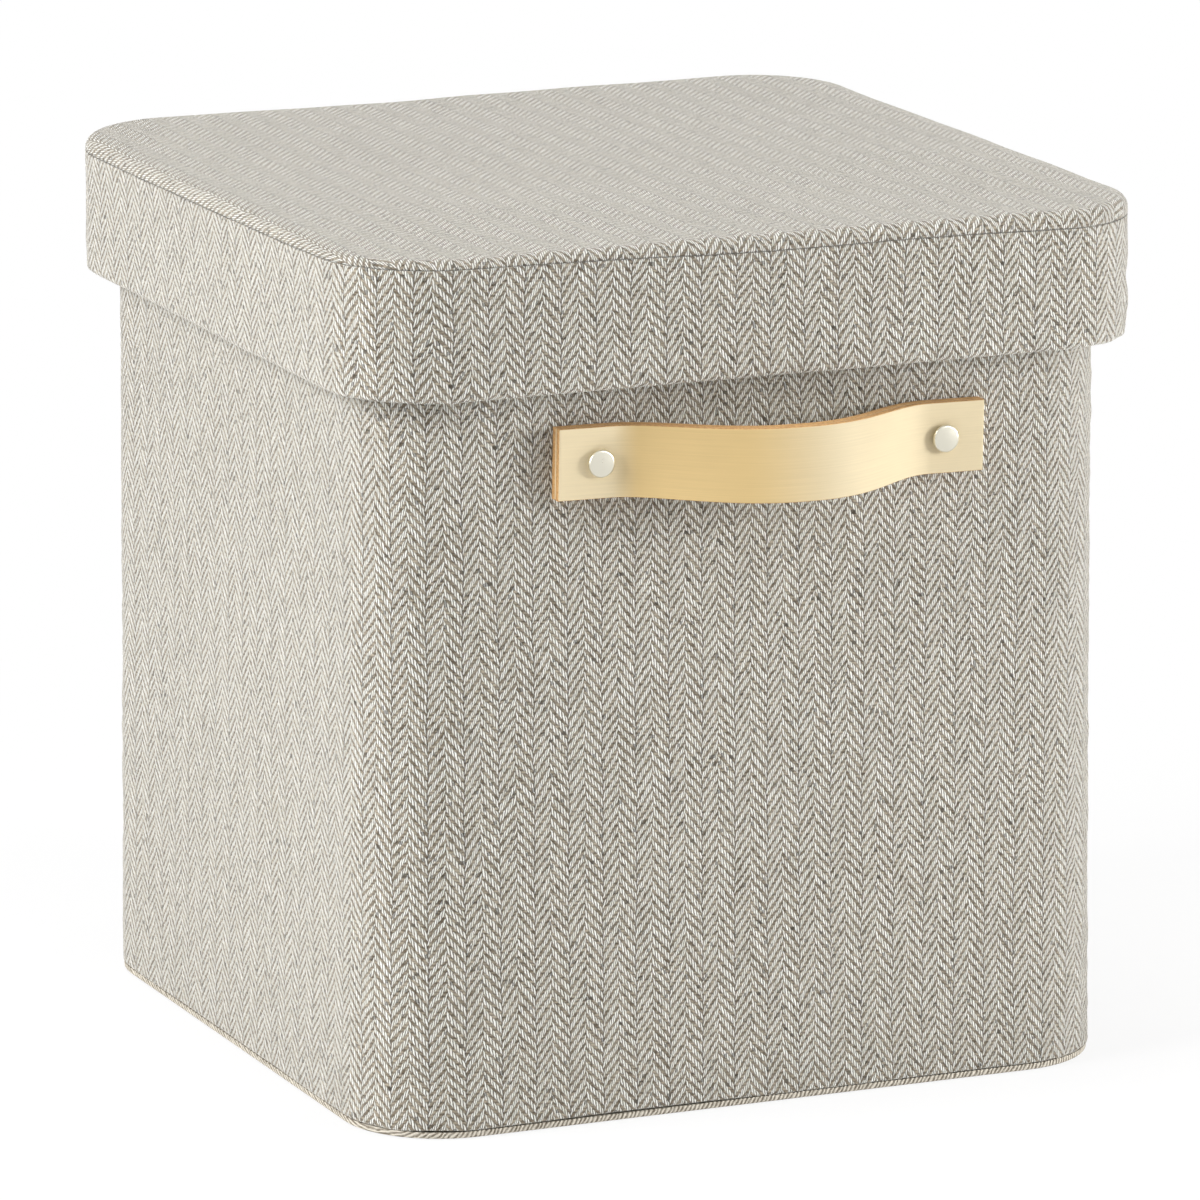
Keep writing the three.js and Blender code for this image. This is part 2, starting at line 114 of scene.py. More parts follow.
def linear(hex_colour: str) -> tuple[float, float, float, float]:
    """Turns an sRGB colour to the linear values that shaders use.

    Args:
        hex_colour: Six hexadecimal digits, such as "d8d2c4".

    Returns:
        Linear red, green and blue, and an alpha of 1.
    """
    channels = [int(hex_colour[i : i + 2], 16) / 255 for i in (0, 2, 4)]
    red, green, blue = (
        c / 12.92 if c <= 0.04045 else ((c + 0.055) / 1.055) ** 2.4 for c in channels
    )
    return red, green, blue, 1.0


class Shading:
    """Adds nodes to one tree. Where a value is a node, its first output is meant."""

    def __init__(self, tree: bpy.types.NodeTree) -> None:
        """Takes the tree that gets the nodes."""
        self.tree = tree

    def feed(self, node: bpy.types.Node, key: int | str, value: Any) -> None:
        """Sets one input of a node to a value, or links a socket or a node to it."""
        if isinstance(value, bpy.types.Node):
            value = value.outputs[0]
        if isinstance(value, bpy.types.NodeSocket):
            self.tree.links.new(value, node.inputs[key])
        else:
            node.inputs[key].default_value = value

    def node(self, kind: str, inputs: Any = (), **settings: Any) -> bpy.types.Node:
        """Adds a node, sets it up and feeds its inputs.

        Args:
            kind: Blender's name of the node's type.
            inputs: Values, sockets or nodes, in the inputs' order or by the input's key.
            **settings: Properties of the node itself, such as its operation.

        Returns:
            The new node.
        """
        node = self.tree.nodes.new(kind)
        for name, value in settings.items():
            setattr(node, name, value)
        pairs = inputs.items() if isinstance(inputs, dict) else enumerate(inputs)
        for key, value in pairs:
            self.feed(node, key, value)
        return node

    def maths(self, operation: str, *values: Any) -> bpy.types.Node:
        """One step of arithmetic with numbers."""
        return self.node("ShaderNodeMath", values, operation=operation)

    def vector(self, operation: str, *values: Any) -> bpy.types.Node:
        """One step of arithmetic with vectors."""
        return self.node("ShaderNodeVectorMath", values, operation=operation)

    def scaled(self, vector: Any, scale: Any) -> bpy.types.Node:
        """A vector or colour times a number."""
        inputs = {0: vector, "Scale": scale}
        return self.node("ShaderNodeVectorMath", inputs, operation="SCALE")

    def axes(self, vector: Any) -> tuple[bpy.types.NodeSocket, ...]:
        """The x, y and z of a vector."""
        return tuple(self.node("ShaderNodeSeparateXYZ", (vector,)).outputs)

    def joined(self, *values: Any) -> bpy.types.Node:
        """A vector of up to three numbers."""
        return self.node("ShaderNodeCombineXYZ", values)

    def ramp(
        self,
        value: Any,
        given: tuple[float, float],
        wanted: tuple[Any, Any] = (0.0, 1.0),
        smooth: bool = False,
    ) -> bpy.types.Node:
        """Maps a given range to a wanted one and goes no further than its ends."""
        kind = "SMOOTHSTEP" if smooth else "LINEAR"
        return self.node(
            "ShaderNodeMapRange", (value, *given, *wanted), interpolation_type=kind
        )

    def noise(
        self, where: Any, scale: float, detail: float, dimensions: str = "2D"
    ) -> bpy.types.Node:
        """Soft noise over a cloth's thread coordinates, or through a solid as "3D"."""
        inputs = {"Vector": where, "Scale": scale, "Detail": detail}
        return self.node("ShaderNodeTexNoise", inputs, noise_dimensions=dimensions)

    def chance(self, name: Any, dimensions: str = "2D") -> bpy.types.Node:
        """Even chances from 0 to 1 that belong to whole numbers."""
        return self.node("ShaderNodeTexWhiteNoise", (name,), noise_dimensions=dimensions)

    def blend(self, share: Any, first: Any, second: Any) -> bpy.types.NodeSocket:
        """A colour that goes from the first at 0 to the second at 1."""
        colours = [linear(c) if isinstance(c, str) else c for c in (first, second)]
        inputs = {0: share, 6: colours[0], 7: colours[1]}
        return self.node("ShaderNodeMix", inputs, data_type="RGBA").outputs[2]

    def roughened(self, roughness: float, cause: Any, spread: float = 0.12) -> bpy.types.Node:
        """A roughness that varies a little with its cause."""
        return self.maths("MULTIPLY_ADD", cause, spread, roughness - spread / 2)

    def attribute(self, name: str, output: str) -> bpy.types.NodeSocket:
        """A value that the mesh carries."""
        return self.node("ShaderNodeAttribute", attribute_name=name).outputs[output]

    def thread(self) -> bpy.types.NodeSocket:
        """The thread coordinates, in mm."""
        return self.attribute(THREAD_ATTRIBUTE, "Vector")

    def solid(self) -> bpy.types.NodeSocket:
        """The place in the piece itself, in metres."""
        return self.node("ShaderNodeTexCoord").outputs["Object"]


class Surface(Shading):
    """A new material with one principled shader."""

    def __init__(self, name: str) -> None:
        """Makes the material and finds its shader."""
        self.material = bpy.data.materials.new(name)
        self.material.use_nodes = True
        super().__init__(self.material.node_tree)
        self.shader = next(n for n in self.tree.nodes if n.type == "BSDF_PRINCIPLED")

    def finish(
        self,
        colour: Any,
        roughness: Any,
        bump: tuple[Any, float, float] | None = None,
        others: dict[str, Any] | None = None,
    ) -> bpy.types.Material:
        """Feeds the shader.

        Args:
            colour: The base colour.
            roughness: The roughness.
            bump: Height, its depth in mm at 1, and the bump's strength.
            others: The shader's other inputs by name.

        Returns:
            The material.
        """
        self.feed(self.shader, "Base Color", colour)
        self.feed(self.shader, "Roughness", roughness)
        if bump is not None:
            height, depth, strength = bump
            inputs = {"Strength": strength, "Distance": depth * MM, "Height": height}
            self.feed(self.shader, "Normal", self.node("ShaderNodeBump", inputs))
        for name, value in (others or {}).items():
            self.feed(self.shader, name, value)
        return self.material


@dataclass(frozen=True)
class HerringboneCloth:
    """Yarn-dyed herringbone twill: ivory warp over a taupe weft, matt and a little hairy.

    The warp floats over two picks and under one, and the twill line turns back at each stripe,
    so the eye sees columns of chevrons made of short pale dashes that lean. No two dashes are
    quite the same length or tone, and a dark fleck of weft shows here and there.
    """

    stripe: float = 6.25  # mm across one column, half a zigzag
    uneven: float = 0.14  # mm that every second turn stands off its even place
    ends: int = 6  # warp threads in a stripe
    repeat: float = 3.0  # picks from one float to the next
    pick: float = 1.293  # mm from weft to weft
    lean: float = 0.3  # threads that a float slips along the twill line in a pick
    twist: float = 0.1  # more lean for every float to one side, from the yarn's twist
    unequal: float = 0.3  # picks by which floats differ in reach
    tip: tuple[float, float] = (0.78, 1.25)  # picks from a float's middle, where it fades
    crown: tuple[float, float] = (0.14, 0.5)  # threads from its middle line, where it falls
    pick_span: tuple[float, float] = (0.12, 0.5)  # picks from a weft's middle, where it falls
    ridge: tuple[float, float] = (0.55, 0.25)  # a weft's height in its middle and beside it
    own_tone: float = 0.28  # how far a float's own tone moves it between dark and pale
    yarn_tones: tuple[float, float] = (0.40, 0.88)  # noise that gives the dark and pale yarn
    warp_pale: str = "fafaf6"
    warp_shade: str = "dad9d0"
    weft_pale: str = "b6ab98"
    weft_dark: str = "655846"
    hollow: float = 0.25  # share of light left between the threads
    lit_height: float = 0.6  # of a float's crown, where no light is lost any more
    fleck_share: float = 0.018  # of all crossings
    fleck_loss: float = 0.6  # shares of light lost in a fleck, a twill's turn and a crease
    ditch_loss: float = 0.65
    crease_loss: float = 0.35
    ditch: tuple[float, float] = (0.55, 0.1)  # mm from a turn where it starts and is full
    roughness: float = 0.9
    relief: float = 0.26  # mm from a float's crown to the hollow beside it
    hair: float = 0.3  # height of the fibres on the yarn, as a share of the relief
    fuzz: float = 0.5  # fibre ends that stand off the yarn and catch light edge-on
    fuzz_tint: str = "fffcf6"

    def yarn_place(self, surface: Surface) -> bpy.types.Node:
        """Thread coordinates that drift slowly, wander finely and keep the stripes uneven."""
        thread = surface.thread()
        place: Any = thread
        for scale, sway in ((0.045, (1.6, 2.4)), (0.42, (0.34, 0.5)), (1.5, (0.22, 0.3))):
            wander = surface.noise(thread, scale, 1.0).outputs["Color"]
            centred = surface.vector("SUBTRACT", wander, (0.5, 0.5, 0.0))
            place = surface.vector("MULTIPLY_ADD", centred, (*sway, 0.0), place)
        across = surface.axes(place)[0]
        turn = surface.maths("MULTIPLY", across, math.pi / self.stripe)
        wave = surface.maths("COSINE", turn)
        shift = surface.maths("MULTIPLY", wave, self.uneven)
        return surface.vector("ADD", place, surface.joined(shift))

    def build(self) -> bpy.types.Material:
        """Returns the cloth's material."""
        surface = Surface("herringbone_cloth")
        maths = surface.maths
        place = self.yarn_place(surface)
        across, along, _ = surface.axes(place)

        stripes = maths("DIVIDE", across, self.stripe)
        stripe = maths("FLOOR", stripes)
        odd = maths("FLOORED_MODULO", stripe, 2.0)
        turn = maths("MULTIPLY_ADD", odd, -2.0, 1.0)
        in_stripe = maths("FRACT", stripes)
        end_place = maths("MULTIPLY", in_stripe, float(self.ends))
        picks = maths("DIVIDE", along, self.pick)
        step = maths("MULTIPLY", end_place, turn)
        lagged = maths("SUBTRACT", picks, step)
        broken = maths("MULTIPLY_ADD", odd, 0.5 * self.repeat, lagged)
        phase = maths("FLOORED_MODULO", broken, self.repeat)
        float_place = maths("SUBTRACT", phase, 0.5 * self.repeat)
        slant = maths("MULTIPLY_ADD", turn, -self.lean, self.twist)
        slid = maths("MULTIPLY_ADD", slant, float_place, end_place)
        end = maths("FLOOR", slid)
        beside = maths("FRACT", slid)

        # Each float is its own: a little longer or shorter, paler or greyer than the next.
        thread_number = maths("MULTIPLY_ADD", stripe, float(self.ends), end)
        repeat = maths("FLOOR", maths("DIVIDE", broken, self.repeat))
        float_name = surface.joined(thread_number, repeat)
        chances = surface.axes(surface.chance(float_name).outputs["Color"])

        # A float is a lens that fades at both tips, with a dark line between it and the next.
        float_end = maths("ABSOLUTE", float_place)
        reach = maths("MULTIPLY_ADD", chances[0], self.unequal, float_end)
        tip = surface.ramp(reach, self.tip, (1.0, 0.0), smooth=True)
        flank = maths("ABSOLUTE", maths("SUBTRACT", beside, 0.5))
        crown = surface.ramp(flank, self.crown, (1.0, 0.0), smooth=True)
        warp = maths("MULTIPLY", tip, crown)

        # The weft is a low ridge along each pick, and sinks deep between floats side by side.
        pick_place = maths("FRACT", picks)
        pick_flank = maths("ABSOLUTE", maths("SUBTRACT", pick_place, 0.5))
        ridge = surface.ramp(pick_flank, self.pick_span, self.ridge, smooth=True)
        open_share = maths("SUBTRACT", 1.0, tip)
        height = maths("MAXIMUM", warp, maths("MULTIPLY", ridge, open_share))

        # Yarn varies along its length: slubs in the warp, darker flecks in the weft.
        yarns = []
        for stretch, own, shade, pale in (
            ((1.3, 0.16, 0.0), chances[1], self.warp_shade, self.warp_pale),
            ((0.22, 1.0, 0.0), chances[2], self.weft_dark, self.weft_pale),
        ):
            drawn = surface.vector("MULTIPLY", place, stretch)
            slub = surface.noise(drawn, 1.0, 3.0)
            tone = maths("MULTIPLY_ADD", own, self.own_tone, slub)
            yarns.append(surface.blend(surface.ramp(tone, self.yarn_tones), shade, pale))
        weave = surface.blend(warp, yarns[1], yarns[0])

        # Light is lost between the threads, most of all down the line where the twill turns.
        crossing = maths("FLOOR", picks)
        rare = surface.chance(surface.joined(thread_number, crossing, 5.0), "3D")
        fleck = maths("GREATER_THAN", rare.outputs["Value"], 1 - self.fleck_share)
        from_peak = maths("PINGPONG", across, self.stripe)
        ditch_span = (self.stripe - self.ditch[0], self.stripe - self.ditch[1])
        ditch = surface.ramp(from_peak, ditch_span)
        broken_ditch = maths("MULTIPLY", ditch, chances[2])
        crease = surface.attribute(CREASE_ATTRIBUTE, "Fac")
        dimmed = surface.ramp(height, (0.0, self.lit_height), (self.hollow, 1.0))
        for cause, loss in (
            (fleck, self.fleck_loss),
            (broken_ditch, self.ditch_loss),
            (crease, self.crease_loss),
        ):
            left = maths("MULTIPLY_ADD", cause, -loss, 1.0)
            dimmed = maths("MULTIPLY", dimmed, left)

        fibre = surface.noise(place, 6.0, 2.0)
        haired = maths("MULTIPLY_ADD", fibre, self.hair, height)
        return surface.finish(
            surface.scaled(weave, dimmed),
            surface.roughened(self.roughness, fibre),
            (haired, self.relief, 1.0),
            {
                "IOR": 1.45,
                "Specular IOR Level": 0.25,
                "Sheen Weight": self.fuzz,
                "Sheen Roughness": 0.5,
                "Sheen Tint": linear(self.fuzz_tint),
            },
        )


@dataclass(frozen=True)
class PlainCloth:
    """Plain-woven cotton or canvas: an even grid of yarns, matt, with a few slubs."""

    name: str
    pale: str
    dark: str
    yarn: float  # mm from thread to thread
    relief: float = 0.12
    roughness: float = 0.9

    def build(self) -> bpy.types.Material:
        """Returns the cloth's material."""
        surface = Surface(self.name)
        thread = surface.thread()
        wander = surface.noise(thread, 0.3, 1.0).outputs["Color"]
        place = surface.vector("MULTIPLY_ADD", wander, (0.5, 0.5, 0.0), thread)
        turns = surface.scaled(place, math.pi / self.yarn)
        across, along, _ = surface.axes(surface.vector("SINE", turns))
        # Over and under alternate like a chessboard: the product of the two sines.
        over = surface.maths("MULTIPLY", across, along)
        height = surface.maths("ABSOLUTE", over)
        slub = surface.noise(thread, 0.6, 3.0)
        # painted shade: the colour darkens between the yarns, with their height
        tone = surface.maths("MULTIPLY_ADD", height, 0.5, slub)
        return surface.finish(
            surface.blend(surface.ramp(tone, (0.35, 1.05)), self.dark, self.pale),
            surface.roughened(self.roughness, slub, 0.1),
            (height, self.relief, 0.8),
            {"Specular IOR Level": 0.25, "Sheen Weight": 0.05},
        )


@dataclass(frozen=True)
class TwillCanvas:
    """Unbleached cotton twill: leaning beige ribs, with painted shade in the grooves between."""

    rib: float = 1.45  # mm from rib to rib, square across them
    lean_degrees: float = 62.0
    pale: str = "dbd4c6"
    dark: str = "7c7263"
    relief: float = 0.45
    roughness: float = 0.9

    def build(self) -> bpy.types.Material:
        """Returns the cloth's material."""
        surface = Surface("cotton_twill")
        thread = surface.thread()
        wander = surface.noise(thread, 0.25, 1.0).outputs["Color"]
        place = surface.vector("MULTIPLY_ADD", wander, (1.2, 1.2, 0.0), thread)
        lean = math.radians(self.lean_degrees)
        turn = 2 * math.pi / self.rib
        across = (turn * math.sin(lean), turn * math.cos(lean), 0.0)
        ribs = surface.vector("DOT_PRODUCT", place, across).outputs["Value"]
        wave = surface.maths("SINE", ribs)
        height = surface.maths("MULTIPLY_ADD", wave, 0.5, 0.5)
        slub = surface.noise(thread, 0.5, 3.0)
        # painted shade: the colour darkens down into each groove with the ribs' height
        tone = surface.maths("MULTIPLY_ADD", height, 0.8, slub)
        return surface.finish(
            surface.blend(surface.ramp(tone, (0.45, 1.15)), self.dark, self.pale),
            self.roughness,
            (height, self.relief, 0.8),
            {"Specular IOR Level": 0.25},
        )


@dataclass(frozen=True)
class GreyBoard:
    """Pressed grey board: recycled pulp, dull, with soft flecks."""

    pale: str = "a39c8e"
    dark: str = "857e71"
    fleck: float = 2.5  # mm
    roughness: float = 0.92

    def build(self) -> bpy.types.Material:
        """Returns the board's material."""
        surface = Surface("grey_board")
        fleck = surface.noise(surface.solid(), 1 / (self.fleck * MM), 4.0, "3D")
        colour = surface.blend(fleck, self.dark, self.pale)
        return surface.finish(colour, self.roughness, (fleck, 0.1, 0.4))


@dataclass(frozen=True)
class StrapFace:
    """Satin-finished hide: smooth, drawn lengthwise, with a faint brushed grain.

    It is a deeper gold on the bow's first flank and pale elsewhere: the pale is a painted sheen,
    the whitish reflection of the bright room, which the first flank turns away from. Its tone
    falls slowly from the left end to the bow's second flank: painted light in the bend by the
    left rivet, painted shade where the second flank's highlight falls.
    """

    # pale is the hide under a painted sheen; the second colour is its gold where that painted
    # reflection gives way
    pale: str = "d9c9a6"
    flank_gold: str = "d1b681"
    gold_starts: tuple[float, float] = (18.0, 34.0)  # mm along the strap
    gold_ends: tuple[float, float] = (68.0, 104.0)
    # painted light in the bend by the left rivet, falling to painted shade over the second
    # flank's highlight
    fall_span: tuple[float, float] = (15.0, 105.0)  # mm along the strap
    fall_tones: tuple[float, float] = (1.06, 0.93)
    grain_share: float = 0.05
    roughness: float = 0.62
    reflection: float = 0.25  # of the surface's own, where 0.5 is full

    def build(self) -> bpy.types.Material:
        """Returns the material of the strap's two broad faces."""
        surface = Surface("strap_face")
        thread = surface.thread()
        drawn = surface.vector("MULTIPLY", thread, (0.03, 2.2, 0.0))
        grain = surface.noise(drawn, 1.0, 4.0)
        cloud = surface.noise(thread, 0.05, 2.0)
        along = surface.axes(thread)[0]
        # the painted sheen gives way to the hide's gold over the first flank
        start = surface.ramp(along, self.gold_starts, smooth=True)
        gold = surface.ramp(along, self.gold_ends, (start, 0.0), smooth=True)
        tinted = surface.blend(gold, self.pale, self.flank_gold)
        tone = surface.maths("MULTIPLY_ADD", cloud, 0.5, grain)
        spread = (1 - self.grain_share, 1 + self.grain_share)
        level = surface.ramp(tone, (0.4, 1.1), spread)
        # painted light by the left rivet, falling to painted shade over the second flank
        fall = surface.ramp(along, self.fall_span, self.fall_tones)
        return surface.finish(
            surface.scaled(tinted, surface.maths("MULTIPLY", level, fall)),
            surface.roughened(self.roughness, grain),
            (grain, 0.05, 0.25),
            {"Specular IOR Level": self.reflection},
        )


@dataclass(frozen=True)
class StrapEdge:
    """Cut edge of the hide: tan, fibrous, with no finish on it."""

    pale: str = "d3a66e"
    dark: str = "ab804d"
    fibre: float = 0.9  # mm
    roughness: float = 0.62

    def build(self) -> bpy.types.Material:
        """Returns the material of the strap's cut edges."""
        surface = Surface("strap_edge")
        fibre = surface.noise(surface.solid(), 1 / (self.fibre * MM), 3.0, "3D")
        colour = surface.blend(surface.ramp(fibre, (0.3, 0.7)), self.dark, self.pale)
        return surface.finish(colour, self.roughness, (fibre, 0.08, 0.5))


@dataclass(frozen=True)
class PolishedNickel:
    """Nickel-plated steel, stamped and tumbled: bright, with the finest haze of wear."""

    tint: str = "dcd8c9"
    haze: float = 1.5  # mm
    roughness: float = 0.3

    def build(self) -> bpy.types.Material:
        """Returns the plating's material."""
        surface = Surface("polished_nickel")
        haze = surface.noise(surface.solid(), 1 / (self.haze * MM), 3.0, "3D")
        rough = surface.roughened(self.roughness, haze)
        return surface.finish(linear(self.tint), rough, others={"Metallic": 1.0})


class Finishes:
    """Every material, made once and found by its slot."""

    def __init__(self) -> None:
        """Builds the materials."""
        lining = PlainCloth("cotton_lining", "e2dccd", "c6bda8", yarn=0.9)
        self.by_slot = {
            Slot.HERRINGBONE: [HerringboneCloth().build()],
            Slot.LINING: [lining.build()],
            Slot.BASE: [TwillCanvas().build()],
            Slot.BOARD: [GreyBoard().build()],
            Slot.STRAP: [StrapFace().build(), StrapEdge().build()],
            Slot.NICKEL: [PolishedNickel().build()],
        }

    def dress(
        self, piece: bpy.types.Object, body: Body, slot: Slot, node: str
    ) -> bpy.types.Object:
        """Gives a piece its slot's materials and its body, and hides the node that it stands
        for.

        Args:
            piece: The piece.
            body: The body that it rides on.
            slot: The record's material slot, whose materials it gets.
            node: The CAD node that it stands for.

        Returns:
            The piece.
        """
        for material in self.by_slot[slot]:
            piece.data.materials.append(material)
        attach(piece, body.value)
        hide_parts(node)
        log.info("%s: %d faces, on %s", piece.name, len(piece.data.polygons), body.value)
        return piece

    def paint_nodes(self, slot: Slot, *names: str) -> None:
        """Gives CAD nodes that show as they are a slot's material.

        Args:
            slot: The slot.
            *names: The nodes' names.
        """
        material = self.by_slot[slot][0]
        for name in names:
            for place in bpy.data.objects[name].material_slots:
                place.material = material
            log.info("%s: CAD node, now in %s", name, material.name)


# ---- Meshes -------------------------------------------------------------------------------

Field = Callable[[np.ndarray], np.ndarray]


@dataclass(frozen=True)
class Outline:
    """A rounded square, walked once round from the middle of its back, by its left side."""

    flat_steps: int = 50  # along each straight side
    corner_steps: int = 12
    seam_step: float = 0.0  # share of half a side from the seam to a first extra point

    def walk(self) -> tuple[np.ndarray, np.ndarray]:
        """Walks the outline.

        Returns:
            Base points of a square of half-width 1, and outward normals, one row per point. A
            point of a real outline is the base times the corner arcs' centre distance, plus
            the normal times their radius.
        """
        sides = [(0, 1), (-1, 0), (0, -1), (1, 0), (0, 1)]
        slides = [2 * step / self.flat_steps - 1 for step in range(self.flat_steps + 1)]
        middle = self.flat_steps // 2
        bases: list[tuple[float, float]] = []
        normals: list[tuple[float, float]] = []
        for index, (nx, ny) in enumerate(sides):
            row = slides[middle:] if index == 0 else slides[:middle] if index == 4 else slides
            if index == 0 and self.seam_step:
                row = [row[0], self.seam_step, *row[1:]]
            bases += [(nx - ny * slide, ny + nx * slide) for slide in row]
            normals += [(nx, ny)] * len(row)
            if index < 4:
                for step in range(1, self.corner_steps):
                    angle = step / self.corner_steps * math.pi / 2
                    c, s = math.cos(angle), math.sin(angle)
                    bases.append((nx - ny, ny + nx))
                    normals.append((nx * c - ny * s, ny * c + nx * s))
        return np.array(bases, float), np.array(normals, float)


SEAMED_OUTLINE = Outline(seam_step=0.007)
LINING_OUTLINE = Outline(34, 10)
BOARD_OUTLINE = Outline(26, 8)


@dataclass(frozen=True)
class Undulation:
    """Soft unevenness of cloth glued over board: a few long waves, the same on every run."""

    amplitude: float  # mm
    seed: int
    longest: float = 160.0  # mm
    shortest: float = 30.0
    waves: int = 16

    def at(self, points: np.ndarray) -> np.ndarray:
        """Height of the unevenness in mm, at rows of x, y and z in mm."""
        rng = np.random.default_rng(self.seed)
        total = np.zeros(points.shape[:-1])
        weight = 0.0
        for _ in range(self.waves):
            wavelength = math.exp(rng.uniform(math.log(self.shortest), math.log(self.longest)))
            direction = rng.normal(size=3)
            direction *= 2 * math.pi / wavelength / np.linalg.norm(direction)
            size = wavelength / self.longest
            total += size * np.cos(points @ direction + rng.uniform(0, 2 * math.pi))
            weight += size * size / 2
        return self.amplitude * total / math.sqrt(weight)


def smooth_step(low: float, high: float, value: np.ndarray) -> np.ndarray:
    """Turns from 0 at low to 1 at high without a corner."""
    share = np.clip((value - low) / (high - low), 0.0, 1.0)
    return share * share * (3 - 2 * share)


def rounded_path(corners: Sequence[tuple[float, ...]], fold_steps: int = 8) -> np.ndarray:
    """A polyline through corners, each rounded by its own radius.

    Args:
        corners: Rows of (distance out, height) or (distance out, height, radius).
        fold_steps: Steps round each rounded corner.

    Returns:
        Rows of (distance out, height).
    """
    points = [np.array(corners[0][:2], float)]
    for before, here, after in zip(corners, corners[1:], corners[2:], strict=False):
        corner = np.array(here[:2], float)
        if len(here) < 3:
            points.append(corner)
            continue
        inward = np.array(before[:2], float) - corner
        outward = np.array(after[:2], float) - corner
        inward /= np.linalg.norm(inward)
        outward /= np.linalg.norm(outward)
        half = math.acos(float(np.clip(inward @ outward, -1, 1))) / 2
        middle = inward + outward
        centre = corner + middle / np.linalg.norm(middle) * here[2] / math.sin(half)
        start = corner + inward * here[2] / math.tan(half) - centre
        end = corner + outward * here[2] / math.tan(half) - centre
        sweep = math.atan2(start[0] * end[1] - start[1] * end[0], float(start @ end))
        for step in range(fold_steps + 1):
            angle = sweep * step / fold_steps
            c, s = math.cos(angle), math.sin(angle)
            points.append(centre + (c * start[0] - s * start[1], s * start[0] + c * start[1]))
    points.append(np.array(corners[-1][:2], float))
    return np.array(points)


def path_normals(path: np.ndarray) -> np.ndarray:
    """Normals to the left of a path, stretched at its bends so that an offset keeps its gap."""
    steps = np.diff(path, axis=0)
    steps /= np.linalg.norm(steps, axis=1, keepdims=True)
    arriving = np.vstack([steps[:1], steps])
    leaving = np.vstack([steps, steps[-1:]])
    both = arriving + leaving
    left = np.stack([-both[:, 1], both[:, 0]], 1)
    left /= np.linalg.norm(left, axis=1, keepdims=True)
    lean = left[:, 1] * arriving[:, 0] - left[:, 0] * arriving[:, 1]
    return left / np.maximum(lean, 0.5)[:, None]


def path_lengths(path: np.ndarray) -> np.ndarray:
    """Distance walked along a path at each of its points."""
    return np.concatenate([[0.0], np.cumsum(np.linalg.norm(np.diff(path, axis=0), axis=1))])


def mesh_object(
    name: str,
    points: np.ndarray,
    faces: Sequence[Sequence[int]],
    threads: np.ndarray | None = None,
    creases: np.ndarray | None = None,
    sharp_degrees: float = 50.0,
) -> bpy.types.Object:
    """Makes a closed mesh, joins the points that coincide and turns its faces outward.

    Args:
        name: The piece's name.
        points: Rows of x, y and z in mm, in the frame.
        faces: The point numbers of each face.
        threads: Thread coordinates in mm of every corner of every face, in their order.
        creases: Painted shade at each point, from 0 to 1, that darkens its colour.
        sharp_degrees: Edges that fold by more than this are shaded sharp.

    Returns:
        The new object, linked to the scene.
    """
    mesh = bpy.data.meshes.new(name)
    mesh.from_pydata((points * MM).tolist(), [], faces)
    if threads is not None:
        layer = mesh.attributes.new(THREAD_ATTRIBUTE, "FLOAT_VECTOR", "CORNER")
        layer.data.foreach_set("vector", np.pad(threads, ((0, 0), (0, 1))).ravel())
    if creases is not None:
        layer = mesh.attributes.new(CREASE_ATTRIBUTE, "FLOAT", "POINT")
        layer.data.foreach_set("value", creases.astype(np.float32))
    joined = bmesh.new()
    joined.from_mesh(mesh)
    bmesh.ops.remove_doubles(joined, verts=joined.verts, dist=JOIN_MM * MM)
    bmesh.ops.dissolve_degenerate(joined, edges=joined.edges, dist=JOIN_MM * MM)
    bmesh.ops.recalc_face_normals(joined, faces=joined.faces)
    joined.to_mesh(mesh)
    joined.free()
    mesh.shade_smooth()
    mesh.set_sharp_from_angle(angle=math.radians(sharp_degrees))
    piece = bpy.data.objects.new(name, mesh)
    bpy.context.scene.collection.objects.link(piece)
    return piece


def ring_quads(first: int, second: int, count: int) -> list[list[int]]:
    """Faces between two closed loops of as many points, given by their first points."""
    after = [(k + 1) % count for k in range(count)]
    return [[first + k, first + n, second + n, second + k] for k, n in enumerate(after)]


def grid_quads(rows: int, count: int) -> list[list[int]]:
    """Faces over an open grid of points that are numbered row by row."""
    corners = [i * count + j for i in range(rows - 1) for j in range(count - 1)]
    return [[k, k + count, k + count + 1, k + 1] for k in corners]


def nothing(points: np.ndarray) -> np.ndarray:
    """The field that is 0 everywhere."""
    return np.zeros(points.shape[:-1])


